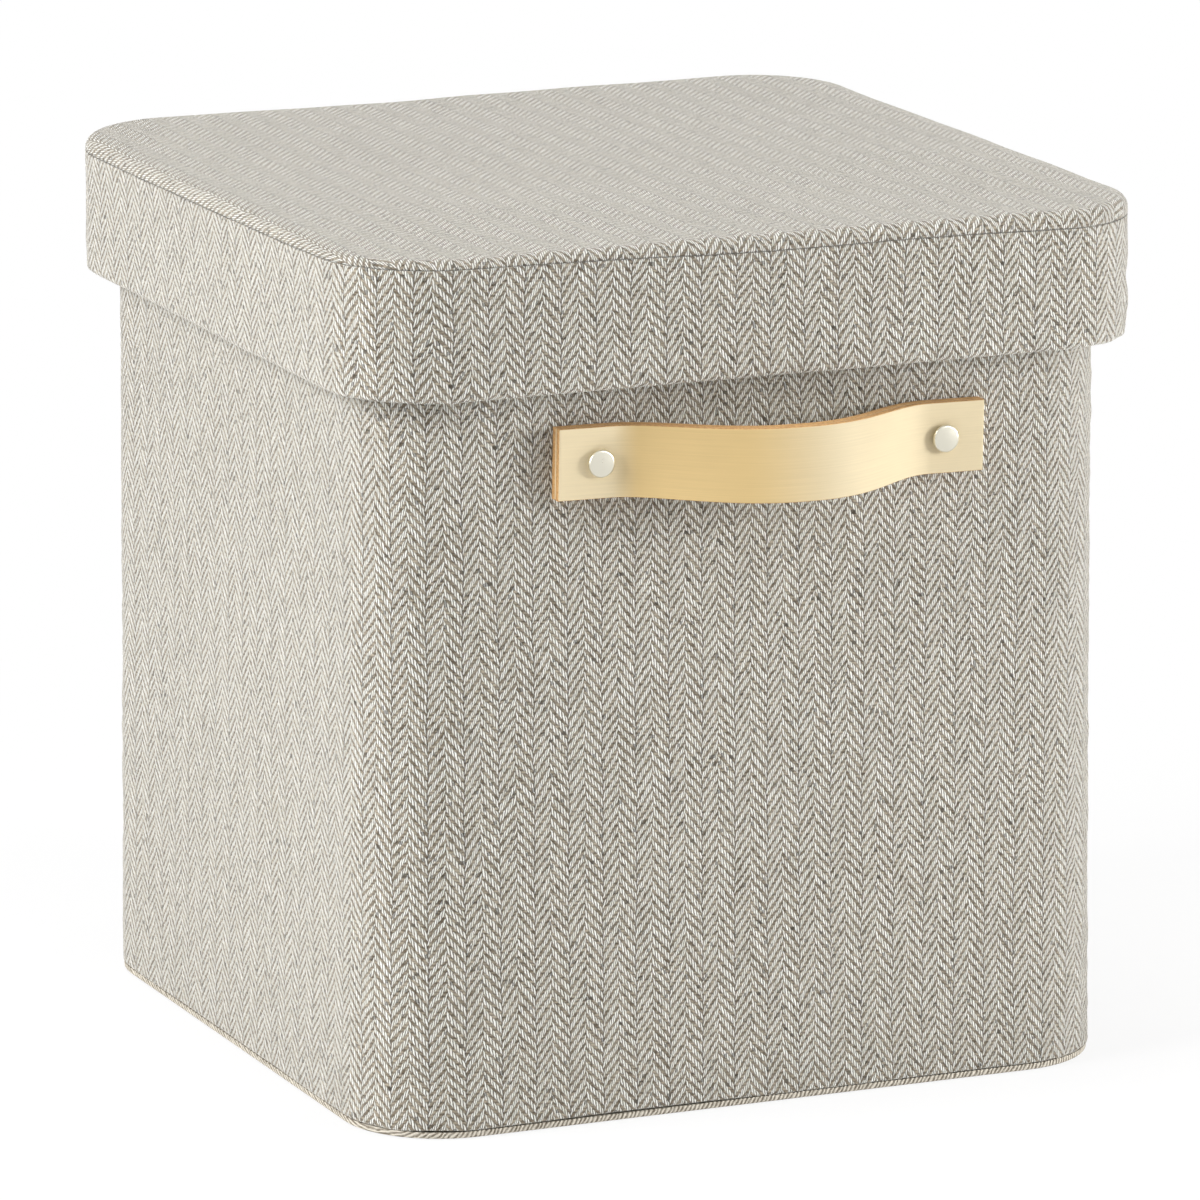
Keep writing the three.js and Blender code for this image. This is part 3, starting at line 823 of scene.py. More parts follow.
@dataclass
class ClothSheet:
    """A sheet of even thickness that follows a profile round a rounded square.

    The face lies to the left of the profile. A filled sheet's profile starts where the corner
    arcs have no radius yet, and a square grid fills the middle.
    """

    path: np.ndarray  # rows of (distance out, height)
    thickness: float
    corner_centre: Callable[[np.ndarray], np.ndarray]  # from heights
    outline: Outline = Outline()
    span: tuple[float, float] = (0.0, math.inf)  # the part of the path's length that is used
    filled: bool = False
    body_side: int = -1  # -1: the body lies right of the path; 1: left of it
    rounded_ends: tuple[float, float] = (0.0, 0.0)  # mm that each end is rounded over
    creased_ends: tuple[float, float] = (0.0, 0.0)  # mm that each end is shaded over
    bow: Field = nothing  # mm outward, shared by all layers of a wall
    lift: Field = nothing  # mm along the face's normal
    slide: Callable[[np.ndarray, np.ndarray], np.ndarray] | None = None  # mm along the path
    # painted shade from 0 to 1, such as along a seam or under the foot
    crease: Field = nothing
    shortest: float = 0.1  # mm from row to row
    longest: float = 4.5
    widened: float = 1.0  # how much wider than woven its stripes lie
    pulled: float = 0.0  # how much wider still at the left, and narrower at the right

    def __post_init__(self) -> None:
        """Finds the rows: the path's own points, finer steps at the ends, none far apart."""
        along = path_lengths(self.path)
        low, high = self.span[0], min(self.span[1], along[-1])
        start = low + CLOTH_STEPS if self.rounded_ends[0] else np.array([low])
        end = high - CLOTH_STEPS if self.rounded_ends[1] else np.array([high])
        rows = [low]
        for target in sorted({*start, *along, *end, high}):
            is_near_end = target > high - self.shortest and target != high
            if target - rows[-1] < self.shortest or is_near_end:
                continue
            steps = max(1, math.ceil((target - rows[-1]) / self.longest - 1e-6))
            rows += list(np.linspace(rows[-1], target, steps + 1)[1:])
        self.rows = np.array(rows)
        self.limits = low, high

    def on_path(self, lengths: np.ndarray) -> tuple[np.ndarray, np.ndarray]:
        """Places and left-hand normals at lengths along the path, each as (..., 2)."""
        along = path_lengths(self.path)
        normals = path_normals(self.path)
        place, normal = (
            np.stack([np.interp(lengths, along, values[:, axis]) for axis in (0, 1)], -1)
            for values in (self.path, normals)
        )
        return place, normal

    def layer(self) -> tuple[np.ndarray, np.ndarray, np.ndarray, np.ndarray]:
        """Lays the rows round the outline.

        Returns:
            Face points, back points, creases and lengths along the path, by row and point.
        """
        bases, walk = self.outline.walk()
        shape = (len(self.rows), len(bases))
        lengths = np.broadcast_to(self.rows[:, None], shape)
        place, normal = self.on_path(lengths)
        flat = self.carried(place, bases, walk)
        if self.slide is not None:
            lengths = lengths + self.slide(flat, lengths)
            place, normal = self.on_path(lengths)
            flat = self.carried(place, bases, walk)
        outward = np.concatenate([np.broadcast_to(walk, (*shape, 2)), np.zeros((*shape, 1))], -1)
        across = outward * normal[..., :1] + np.array([0, 0, 1.0]) * normal[..., 1:]
        from_ends = np.stack([self.rows - self.limits[0], self.limits[1] - self.rows])
        fullness = np.ones(len(self.rows))
        # painted shade that deepens towards each end of the sheet, over creased_ends, where it
        # turns
        end_shade = np.zeros(len(self.rows))
        ends = zip(from_ends, self.rounded_ends, self.creased_ends, strict=True)
        for distance, radius, shaded in ends:
            if radius:
                short = np.clip(1 - distance / radius, 0, 1)
                fullness = np.minimum(fullness, np.sqrt(np.maximum(1 - short**2, 0.09)))
            if shaded:
                end_shade = np.maximum(end_shade, np.clip(1 - distance / shaded, 0, 1) ** 1.5)
        thin = ((1 - fullness) * self.thickness / 2)[:, None, None] * self.body_side
        face = flat + self.bow(flat)[..., None] * outward
        face = face + self.lift(flat)[..., None] * across
        back = face + (self.body_side * self.thickness) * across - thin * across
        face = face + thin * across
        creases = np.clip(self.crease(flat) + end_shade[:, None], 0, 1)
        return face, back, creases, lengths

    def carried(self, place: np.ndarray, bases: np.ndarray, walk: np.ndarray) -> np.ndarray:
        """Carries profile places round the outline, giving rows of x, y and z."""
        centre = self.corner_centre(place[..., 1])[..., None]
        xy = centre * bases + (place[..., :1] - centre) * walk
        return np.concatenate([xy, place[..., 1:]], -1)

    def threads_round(self, lengths: np.ndarray) -> np.ndarray:
        """Thread coordinates with the columns square to the outline, closing at the seam."""
        bases, walk = self.outline.walk()
        out = self.path[:, 0].max()
        height = self.path[:, 1].mean()
        centre = float(self.corner_centre(np.array(height)))
        loop = centre * bases + (out - centre) * walk
        steps = np.linalg.norm(np.roll(loop, -1, 0) - loop, axis=1)
        around = np.concatenate([[0.0], np.cumsum(steps)])
        turn = around[-1] / (2 * math.pi)
        woven = (around + self.pulled * turn * np.cos(around / turn)) / self.widened
        along = np.concatenate([lengths, lengths[:, :1]], 1)
        return np.stack([np.broadcast_to(woven, along.shape), along], -1)

    def threads_flat(self, lengths: np.ndarray) -> np.ndarray:
        """Thread coordinates of a cut that was flat, with the columns along y everywhere."""
        bases, walk = self.outline.walk()
        centre = float(self.corner_centre(self.path[0, 1]))
        xy = centre * bases + (lengths - self.limits[0])[..., None] * walk
        return np.concatenate([xy, xy[:, :1]], 1)

    def build(self, name: str) -> bpy.types.Object:
        """Writes the sheet as one closed mesh."""
        face, back, creases, lengths = self.layer()
        threads = self.threads_flat(lengths) if self.filled else self.threads_round(lengths)
        rows, count = lengths.shape
        points = np.concatenate([face.reshape(-1, 3), back.reshape(-1, 3)])
        shade = np.concatenate([creases.ravel(), creases.ravel()])
        faces: list[list[int]] = []
        corners: list[np.ndarray] = []

        def band(first: int, second: int, first_row: int, second_row: int) -> None:
            """Joins two loops, given by their first points and their rows of threads."""
            faces.extend(ring_quads(first, second, count))
            for k in range(count):
                corners.extend(threads[first_row, k : k + 2])
                corners.extend(threads[second_row, k : k + 2][::-1])

        side = rows * count
        for row in range(rows - 1):
            band(row * count, (row + 1) * count, row, row + 1)
            band(side + row * count, side + (row + 1) * count, row, row + 1)
        band((rows - 1) * count, side + (rows - 1) * count, rows - 1, rows - 1)
        if self.filled:
            size = self.outline.flat_steps + 1
            for is_back in (False, True):
                middle = self.middle_grid(is_back)
                start = len(points)
                points = np.concatenate([points, middle])
                shade = np.concatenate([shade, self.crease(middle)])
                for quad in grid_quads(size, size):
                    faces.append([start + q for q in quad])
                    corners.extend(middle[quad, :2])
        else:
            band(0, side, 0, 0)
        return mesh_object(name, points, faces, np.array(corners, np.float32), shade)

    def middle_grid(self, is_back: bool) -> np.ndarray:
        """Points of the square that fills a filled sheet's middle, on its face or its back."""
        place, normal = self.on_path(self.rows[:1])
        reach = float(self.corner_centre(place[0, 1]))
        steps = np.linspace(-reach, reach, self.outline.flat_steps + 1)
        x, y = np.meshgrid(steps, steps, indexing="ij")
        flat = np.stack([x.ravel(), y.ravel(), np.full(x.size, place[0, 1])], -1)
        up = float(np.sign(normal[0, 1]))
        rise = self.lift(flat) * up
        if is_back:
            rise = rise + self.body_side * self.thickness * up
        flat[:, 2] += rise
        return flat

    def cut_size(self, overlap: float = 0.0) -> tuple[float, float]:
        """Width and length in metres of the flat cut, with an overlap in mm at its seam."""
        used = self.limits[1] - self.limits[0]
        if self.filled:
            width = 2 * (float(self.corner_centre(self.path[0, 1])) + used) * MM
            return width, width
        threads = self.threads_round(np.zeros((1, len(self.outline.walk()[0]))))[0]
        around = (threads[-1, 0] - threads[0, 0]) * self.widened
        return (around + overlap) * MM, used * MM


def box_mm(node: str) -> tuple[np.ndarray, np.ndarray]:
    """Lowest and highest corners of a CAD node, in mm."""
    low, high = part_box(node)
    return np.array(low) / MM, np.array(high) / MM


# ---- Sub-assemblies -----------------------------------------------------------------------


@dataclass(kw_only=True)
class WrappedBox:
    """Board walls between a glued cover and a lining: what the bin and its lid share."""

    body: ClassVar[Body]
    pucker_seed: ClassVar[int]
    pucker_start: ClassVar[float]  # how far out in x and y the turned-in cloth puckers

    finishes: Finishes
    cloth: float = 1.0
    lining: float = 0.8
    board: float = 3.0
    glue: float = 0.3
    turn_in: float = 14.0  # of the cover, in over an edge
    seam_overlap: float = 12.0
    lap_rise: float = 0.7  # mm that the cover stands higher where it laps over itself
    seam_line: float = 0.6  # mm wide
    seam_dark: float = 0.8
    pucker_reach: float = 14.0  # mm over which the puckers grow

    @property
    def stack(self) -> float:
        """Thickness of cover and board with their glue."""
        return self.cloth + self.board + 2 * self.glue

    def puckered_lift(self, points: np.ndarray, half: Any, rise: np.ndarray) -> np.ndarray:
        """How far a cover's face rises, outside and where it is turned in.

        Args:
            points: Rows of x, y and z in mm.
            half: Half the cover's width at the points.
            rise: Its rise outside, apart from the lapped seam's.

        Returns:
            The rise at each point, in mm.
        """
        x, y, _ = np.moveaxis(points, -1, 0)
        outside = smooth_step(-1.5, 0.5, np.maximum(abs(x), abs(y)) - half + self.cloth)
        # The lap steps up just past the seam and thins out again.
        past_seam = np.where((y > 0) & (x < -0.3), -x, 0.0)
        lap = smooth_step(0.2, 0.7, past_seam) * (1 - smooth_step(4.0, 14.0, past_seam))
        start = self.pucker_start
        cornered = smooth_step(start, start + self.pucker_reach, np.minimum(abs(x), abs(y)))
        puckers = Undulation(amplitude=0.22, seed=self.pucker_seed, longest=14.0, shortest=8.0)
        inside = cornered * puckers.at(points)
        return outside * (rise + self.lap_rise * lap) + (1 - outside) * inside

    def seam_shade(self, points: np.ndarray) -> np.ndarray:
        """Shade along the lapped seam in the middle of the back."""
        x, y, _ = np.moveaxis(points, -1, 0)
        return np.exp(-((x / self.seam_line) ** 2)) * (y > 0) * self.seam_dark

    def lay(
        self,
        sheet: ClothSheet,
        name: str,
        slot: Slot,
        node: str,
        rests_on: list[str],
        held: str = "stretched",
    ) -> None:
        """Args:
            sheet: The sheet.
            name: The piece's name.
            slot: The record's material slot.
            node: The CAD node that it stands for.
            rests_on: The pieces that carry it; not used.
            held: How they do; not used.
        """
        piece = self.finishes.dress(sheet.build(name), self.body, slot, node)
        flat = sheet.cut_size(self.seam_overlap)


@dataclass(kw_only=True)
class Bin(WrappedBox):
    """The open box: board walls wrapped in cloth, lined, with a covered base."""

    body: ClassVar[Body] = Body.BIN
    pucker_seed: ClassVar[int] = 12
    pucker_start: ClassVar[float] = 98.0

    rivets: Sequence[tuple[float, float]]  # x and height of the handle's rivets
    flare: float = 2.0  # mm that each wall leans out from rim to foot
    corner_radius: float = 34.0  # at the rim
    corner_ease: float = 3.0  # how much rounder the corners are at the foot
    turn_under: float = 18.0
    rim_radius: float = 2.2
    foot_radius: float = 1.1
    foot_shade: float = 0.2
    lining_foot: float = 18.0
    insert_radius: float = 1.1
    base_cover_radius: float = 0.9
    base_cover_inset: float = 0.4
    hollow: float = 0.45  # how far the walls draw in between rim and foot
    pad_reach: float = 26.0  # mm round a rivet that the wall is held flat
    pad_rise: float = 0.2

    def __post_init__(self) -> None:
        """Reads the places that the frame gives."""
        low, high = box_mm("body_wrap")
        self.foot, self.rim = float(low[2]), float(high[2])
        low, high = box_mm("base_cover_cloth")
        self.rim_half = float(high[0] - low[0]) / 2 + self.base_cover_inset - self.flare
        self.foot_half = self.rim_half + self.flare
        self.unevenness = Undulation(amplitude=0.14, seed=11)

    def half_at(self, height: np.ndarray | float) -> np.ndarray | float:
        """Half the width across the wall cover at heights."""
        return self.foot_half - self.flare * (height - self.foot) / (self.rim - self.foot)

    def corner_centre(self, height: np.ndarray | float) -> np.ndarray | float:
        """Distance of the corner arcs' centres at heights."""
        eased = self.corner_ease * (self.rim - height) / (self.rim - self.foot)
        return self.half_at(height) - self.corner_radius - eased

    def held(self, points: np.ndarray) -> np.ndarray:
        """How firmly the rivets hold the wall at points, from 0 to 1."""
        hold = np.zeros(points.shape[:-1])
        for x, z in self.rivets:
            away = np.hypot(points[..., 0] - x, points[..., 2] - z)
            hold = np.maximum(hold, np.exp(-((away / self.pad_reach) ** 2)))
        return hold * (points[..., 1] < 0)

    def bow(self, points: np.ndarray) -> np.ndarray:
        """How far the whole wall draws in at points."""
        share = np.clip((points[..., 2] - self.foot) / (self.rim - self.foot), 0, 1)
        return -self.hollow * np.sin(math.pi * share) * (1 - self.held(points))

    def lift(self, points: np.ndarray) -> np.ndarray:
        """How far the cover's face rises: unevenness, the lapped seam, puckers inside."""
        hold = self.held(points)
        rise = self.unevenness.at(points) * (1 - hold) + self.pad_rise * hold
        return self.puckered_lift(points, self.half_at(points[..., 2]), rise)

    def crease(self, points: np.ndarray) -> np.ndarray:
        """Shade along the lapped seam, and under the foot."""
        under = 1 - smooth_step(self.foot + 0.1, self.foot + 1.1, points[..., 2])
        return np.maximum(self.seam_shade(points), self.foot_shade * under)

    def wrap(self) -> None:
        """The wall cover: in over the rim, down the wall and in under the base."""
        inner = self.stack + self.cloth
        turned = self.rim - self.turn_in
        path = rounded_path([
            (self.half_at(turned) - inner, turned),
            (self.rim_half - inner, self.rim, self.rim_radius),
            (self.rim_half, self.rim, self.rim_radius),
            (self.foot_half, self.foot, self.foot_radius),
            (self.foot_half - self.cloth - self.glue - self.turn_under, self.foot),
        ])
        sheet = ClothSheet(
            path, self.cloth, self.corner_centre, SEAMED_OUTLINE,
            rounded_ends=(0.6, 0.6), creased_ends=(1.2, 1.2),
            bow=self.bow, lift=self.lift, crease=self.crease, pulled=0.096,
        )
        carriers = ["wall_boards", "base_board"]
        self.lay(sheet, "wall_cover", Slot.HERRINGBONE, "body_wrap", carriers)

    def boards(self) -> None:
        """The board ring inside the walls."""
        low, high = box_mm("wall_board")
        inset = self.cloth + self.glue
        path = np.array([(self.half_at(float(z)) - inset, float(z)) for z in (low[2], high[2])])
        sheet = ClothSheet(
            path, self.board, self.corner_centre, BOARD_OUTLINE, body_side=1,
            bow=self.bow, longest=25.0,
        )
        self.finishes.dress(sheet.build("wall_boards"), self.body, Slot.BOARD, "wall_board")

    def inner_lining(self) -> None:
        """The lining: down the wall from the cover's turning, and in under the floor insert."""
        low, high = box_mm("wall_lining")
        foot, top = float(low[2]), float(high[2])
        top_half, foot_half = (self.half_at(z) - self.stack for z in (top, foot))
        path = rounded_path([
            (top_half - self.lining, top),
            (foot_half - self.lining, foot + self.lining, self.lining),
            (foot_half - self.lining_foot, foot + self.lining),
        ])
        sheet = ClothSheet(
            path, self.lining, self.corner_centre, LINING_OUTLINE, body_side=1,
            rounded_ends=(0.5, 0.0), creased_ends=(1.0, 0.0),
            bow=self.bow, lift=Undulation(amplitude=0.12, seed=13).at, longest=8.0,
        )
        carriers = ["wall_boards", "base_board"]
        self.lay(sheet, "wall_inner_lining", Slot.LINING, "wall_lining", carriers)

    def floor_insert(self) -> None:
        """The cloth of the floor insert: flat over its card and folded down its edges."""
        low, high = box_mm("floor_cloth")
        half, foot, top = float(high[0]), float(low[2]), float(high[2])
        centre = float(self.corner_centre(top))
        sheet = ClothSheet(
            rounded_path([(centre, top), (half, top, self.insert_radius), (half, foot)]),
            self.lining, lambda height: np.full(np.shape(height), centre), LINING_OUTLINE,
            filled=True, lift=Undulation(amplitude=0.2, seed=14).at, longest=8.0,
        )
        self.lay(
            sheet, "floor_insert_cloth", Slot.LINING, "floor_cloth", ["floor_card"], "laid"
        )

    def base_cover(self) -> None:
        """The cloth of the base cover: flat under its card and folded up its edges."""
        low, high = box_mm("base_cover_cloth")
        half, foot, top = float(high[0]), float(low[2]), float(high[2])
        centre = float(self.corner_centre(self.foot))
        sheet = ClothSheet(
            rounded_path([(centre, foot), (half, foot, self.base_cover_radius), (half, top)]),
            self.lining, lambda height: np.full(np.shape(height), centre), filled=True,
            body_side=1, longest=6.0,
        )
        self.lay(sheet, "base_cover_twill", Slot.BASE, "base_cover_cloth", ["base_cover_card"])

    def build(self) -> None:
        """Builds and dresses the whole bin."""
        self.boards()
        self.wrap()
        self.inner_lining()
        self.floor_insert()
        self.base_cover()
        self.finishes.paint_nodes(Slot.BOARD, "base_board", "base_cover_card", "floor_card")


@dataclass(kw_only=True)
class Lid(WrappedBox):
    """The lift-off lid: a wrapped top and a wrapped rim that meet in a seam near the edge."""

    body: ClassVar[Body] = Body.LID
    pucker_seed: ClassVar[int] = 22
    pucker_start: ClassVar[float] = 104.0

    corner_radius: float = 39.0
    edge_radius: float = 4.6
    hem_radius: float = 2.4
    seam_gap: float = 0.1
    fold_proud: float = 0.25  # how far the rim strip's folded edge stands out
    fold_depth: float = 7.0  # mm below the seam that its turning still shows

    def __post_init__(self) -> None:
        """Reads the places that the frame gives and lays the profile of the two covers."""
        low, high = box_mm("lid_rim_cloth")
        self.half = float(high[0])
        self.foot = float(low[2])
        self.top = float(box_mm("lid_top_cloth")[1][2])
        self.seam = float(high[2])
        self.centre = self.half - self.corner_radius
        inner = self.half - self.stack - self.cloth
        self.profile = rounded_path([
            (self.centre, self.top),
            (self.half, self.top, self.edge_radius),
            (self.half, self.foot, self.hem_radius),
            (inner, self.foot, self.hem_radius),
            (inner, self.foot + self.turn_in),
        ])
        fold_end = self.corner_radius - self.edge_radius * (1 - math.pi / 2)
        self.seam_length = fold_end + (self.top - self.edge_radius) - self.seam
        self.unevenness = Undulation(amplitude=0.2, seed=21)

    def corner_centre(self, height: np.ndarray) -> np.ndarray:
        """Distance of the corner arcs' centres, the same at every height."""
        return np.full(np.shape(height), self.centre)

    def seam_drift(self, points: np.ndarray) -> np.ndarray:
        """How far below its even line the hand-laid seam runs at points.

        It sinks to the right along the front, climbs round the front left corner, and waves.
        """
        x, y, _ = np.moveaxis(points, -1, 0)
        corner = np.hypot(x + self.half - 12, y + self.half - 12)
        to_right = 1.3 * np.clip(x / self.half, -0.3, 1) * smooth_step(0, 60, -y)
        return to_right - 2.1 * np.exp(-((corner / 62) ** 2)) + 0.35 * np.sin(x / 21 + y / 33)

    def top_slide(self, points: np.ndarray, lengths: np.ndarray) -> np.ndarray:
        """Lets the top cover's lip follow the seam."""
        fold_start = self.corner_radius - self.edge_radius
        share = smooth_step(fold_start - 6, self.seam_length - 2.7, lengths)
        return self.seam_drift(points) * share

    def rim_slide(self, points: np.ndarray, lengths: np.ndarray) -> np.ndarray:
        """Lets the rim strip's folded edge follow the seam."""
        share = 1 - smooth_step(self.seam_length + 3, self.seam_length + 26, lengths)
        return self.seam_drift(points) * share

    def lift_rim(self, points: np.ndarray) -> np.ndarray:
        """Unevenness of the rim strip, its doubled fold, its lapped seam, puckers inside."""
        below = self.seam - self.seam_drift(points) - points[..., 2]
        faded = smooth_step(self.fold_depth * 0.6, self.fold_depth * 1.6, below)
        rise = self.unevenness.at(points) + self.fold_proud * (1 - faded)
        return self.puckered_lift(points, self.half, rise)

    def covers(self) -> None:
        """The top cover and the rim strip, which share one profile and meet at the seam."""
        top = ClothSheet(
            self.profile, self.cloth, self.corner_centre,
            span=(0.0, self.seam_length - self.seam_gap), filled=True,
            rounded_ends=(0.0, 0.45), creased_ends=(0.0, 0.7),
            lift=self.unevenness.at, slide=self.top_slide,
        )
        self.lay(top, "lid_top_cover", Slot.HERRINGBONE, "lid_top_cloth", ["lid_top_board"])
        rim = ClothSheet(
            self.profile, self.cloth, self.corner_centre, SEAMED_OUTLINE,
            span=(self.seam_length, math.inf), rounded_ends=(0.45, 0.6),
            creased_ends=(0.4, 1.2), lift=self.lift_rim, slide=self.rim_slide,
            crease=self.seam_shade, widened=1.04, pulled=0.055,
        )
        self.lay(rim, "lid_rim_cover", Slot.HERRINGBONE, "lid_rim_cloth", ["lid_rim_board"])

    def linings(self) -> None:
        """The lining round the rim and the one under the top."""
        low, high = box_mm("lid_rim_lining")
        half = float(high[0]) - self.lining
        rim = ClothSheet(
            np.array([(half, low[2]), (half, high[2])]), self.lining, self.corner_centre,
            LINING_OUTLINE, rounded_ends=(0.5, 0.0), creased_ends=(1.0, 0.0), longest=8.0,
        )
        carriers = ["lid_rim_board"]
        self.lay(rim, "lid_rim_inner_lining", Slot.LINING, "lid_rim_lining", carriers)
        low, high = box_mm("lid_top_lining")
        under = ClothSheet(
            np.array([(self.centre, low[2]), (high[0], low[2])]), self.lining,
            self.corner_centre, LINING_OUTLINE, filled=True, body_side=1,
            lift=Undulation(amplitude=0.08, seed=23).at, longest=8.0,
        )
        carriers = ["lid_top_board"]
        self.lay(under, "lid_top_inner_lining", Slot.LINING, "lid_top_lining", carriers)

    def build(self) -> None:
        """Builds and dresses the whole lid."""
        self.covers()
        self.linings()
        self.finishes.paint_nodes(Slot.BOARD, "lid_top_board", "lid_rim_board")


class Side(Enum):
    """Which end of the handle a rivet holds."""

    LEFT = "left"
    RIGHT = "right"


@dataclass
class Handle:
    """A two-ply hide strap bowed out between two through rivets."""

    finishes: Finishes
    length: float = 162.8
    width: float = 25.5
    ply: float = 3.0
    glue: float = 0.3
    rise: float = 25.5
    fullness: float = 1.22
    lean: float = 5.3  # how much less the upper edge bows out than the lower
    tilt_degrees: float = 1.0
    rivet_end_distance: float = 15.45
    edge_round: float = 0.55
    tan_edge: float = 0.14  # mm in from the cut that shows the cut's tan
    cap_diameter: float = 10.0
    cap_round: float = 1.1  # radius of the cap's shoulder
    cap_crown: float = 0.3
    cap_undercut: float = 0.9
    tube_radius: float = 1.7
    post_radius: float = 1.5
    head_height: float = 1.4
    lathe_steps: int = 48

    def __post_init__(self) -> None:
        """Reads the places that the frame gives."""
        low, high = box_mm("strap_back_ply")
        self.middle = (low + high) / 2
        self.back = float(high[1])
        self.rivet_out = self.length / 2 - self.rivet_end_distance
        self.half_span = self.rivet_out - self.cap_diameter / 2

    def rivet_places(self) -> list[tuple[float, float]]:
        """x and height of each rivet's axis."""
        places = []
        for side in Side:
            low, high = box_mm(f"rivet_cap_{side.value}")
            places.append(((low[0] + high[0]) / 2, (low[2] + high[2]) / 2))
        return places

    def line(self) -> np.ndarray:
        """The strap's back seen from above: flat pads and the bow, as (along, out)."""
        half = self.length / 2
        pads = np.linspace(half - 2.5, self.half_span, 9, endpoint=False)
        right = np.concatenate([half - HIDE_STEPS, pads])
        along = np.concatenate(
            [-right, np.linspace(-self.half_span, self.half_span, 97), right[::-1]]
        )
        share = np.minimum(abs(along) / self.half_span, 1) ** self.fullness
        out = np.where(share < 1, self.rise * (1 + np.cos(math.pi * share)) / 2, 0.0)
        return np.stack([along, out], -1)

    def ply_layers(
        self, line: np.ndarray, across: np.ndarray, eased: np.ndarray, inner: float
    ) -> np.ndarray:
        """Front and back points of one ply, row by row along the strap.

        Args:
            line: The strap's line from above.
            across: Heights across the strap, from its middle.
            eased: How far each point is drawn in by the rounding of the edges.
            inner: Distance of the ply's inner face from the strap's back.

        Returns:
            Rows of x, y and z in mm.
        """
        normals = path_normals(line)
        tilt = math.radians(self.tilt_degrees)
        leaning = self.lean * line[:, 1:] / self.rise * across[None, :] / self.width
        layers = []
        for distance in (inner + self.ply - eased, inner + eased):
            place = line[:, None, :] + normals[:, None, :] * distance[..., None]
            along, up = place[..., 0], np.broadcast_to(across, distance.shape)
            layers.append(np.stack([
                self.middle[0] + along * math.cos(tilt) + up * math.sin(tilt),
                self.back - place[..., 1] + leaning,
                self.middle[2] - along * math.sin(tilt) + up * math.cos(tilt),
            ], -1))
        return np.concatenate([layer.reshape(-1, 3) for layer in layers])

    def strip(self, name: str, inner: float, node: str) -> None:
        """One ply, with eased edges.

        Args:
            name: The piece's name.
            inner: Distance of its inner face from the strap's back.
            node: The CAD node that it stands for.
        """
        line = self.line()
        half = self.width / 2
        right = np.concatenate([half - HIDE_STEPS, np.linspace(half - 2.2, 0.9, 7)])
        across = np.concatenate([-right, right[::-1]])
        from_end = self.length / 2 - abs(line[:, 0])
        from_edge = np.minimum(from_end[:, None], half - abs(across)[None, :])
        short = np.clip(self.edge_round - from_edge, 0, None)
        eased = self.edge_round - np.sqrt(self.edge_round**2 - short**2)
        points = self.ply_layers(line, across, eased, inner)

        rows, count = from_edge.shape
        layer = rows * count
        quads = grid_quads(rows, count)
        faces = [[start + q for q in quad] for start in (0, layer) for quad in quads]
        is_edge = [bool(from_edge.ravel()[quad].mean() < self.tan_edge) for quad in quads] * 2
        border = [*range(count)]
        border += [i * count + count - 1 for i in range(1, rows)]
        border += [(rows - 1) * count + j for j in range(count - 2, -1, -1)]
        border += [i * count for i in range(rows - 2, 0, -1)]
        for a, b in zip(border, [*border[1:], border[0]], strict=True):
            faces.append([a, b, layer + b, layer + a])
            is_edge.append(True)

        walked = path_lengths(line)
        thread = np.stack(np.broadcast_arrays(walked[:, None], across[None, :]), -1)
        threads = thread.reshape(-1, 2)[np.array(faces).ravel() % layer].astype(np.float32)
        piece = mesh_object(name, points, faces, threads, sharp_degrees=60)
        piece.data.polygons.foreach_set("material_index", np.array(is_edge, np.int32))
        self.finishes.dress(piece, Body.BIN, Slot.STRAP, node)

    def lathe(self, name: str, node: str, profile: Sequence[tuple[float, float]]) -> None:
        """Turns a rivet's half about its axis, which runs front to back.

        Args:
            name: The piece's name.
            node: The CAD node that it stands for, and whose axis it takes.
            profile: Rows of (radius, y), from the axis and back to it.
        """
        low, high = box_mm(node)
        x, z = (low[0] + high[0]) / 2, (low[2] + high[2]) / 2
        count = self.lathe_steps
        angles = np.arange(count) / count * 2 * math.pi
        points = np.array([
            (x + radius * math.cos(a), y, z + radius * math.sin(a))
            for radius, y in profile for a in angles
        ])
        faces: list[list[int]] = []
        for row in range(len(profile) - 1):
            faces += ring_quads(row * count, (row + 1) * count, count)
        piece = mesh_object(name, points, faces, sharp_degrees=35)
        self.finishes.dress(piece, Body.BIN, Slot.NICKEL, node)

    def rivet(self, side: Side) -> None:
        """One rivet: the cap on the strap and the post with its head inside the bin."""
        low, high = box_mm(f"rivet_cap_{side.value}")
        face, grip = float(low[1]), float(high[1])
        seat = self.back - 2 * self.ply - self.glue
        radius = self.cap_diameter / 2
        turns = np.linspace(0, math.pi / 2, 9)
        foot, flat = radius - self.cap_undercut, radius - self.cap_round
        cap = [(r, face + self.cap_crown * (r / flat) ** 2) for r in np.linspace(0, flat, 8)]
        shoulder = face + self.cap_crown + self.cap_round
        cap += [
            (flat + self.cap_round * math.sin(t), shoulder - self.cap_round * math.cos(t))
            for t in turns[1:]
        ]
        tube = self.tube_radius
        cap += [(foot + 0.1, seat - 0.2), (foot, seat), (tube, seat), (tube, grip), (0, grip)]
        self.lathe(f"rivet_{side.value}_cap", f"rivet_cap_{side.value}", cap)

        low, high = box_mm(f"rivet_post_{side.value}")
        top = float(high[1])
        under = top - self.head_height
        head = float(high[0] - low[0]) / 2
        rim = self.head_height * 0.6
        start, shank = grip + 0.05, self.post_radius
        post = [(0.0, start), (shank, start), (shank, under), (head, under)]
        post += [(head - rim + rim * math.cos(t), top - rim + rim * math.sin(t)) for t in turns]
        post += [(0.0, top)]
        self.lathe(f"rivet_{side.value}_post", f"rivet_post_{side.value}", post)

    def build(self) -> None:
        """Builds and dresses the handle."""
        self.strip("strap_inner_ply", 0.0, "strap_back_ply")
        self.strip("strap_outer_ply", self.ply + self.glue, "strap_front_ply")
        for side in Side:
            self.rivet(side)


# ---- Studio -------------------------------------------------------------------------------


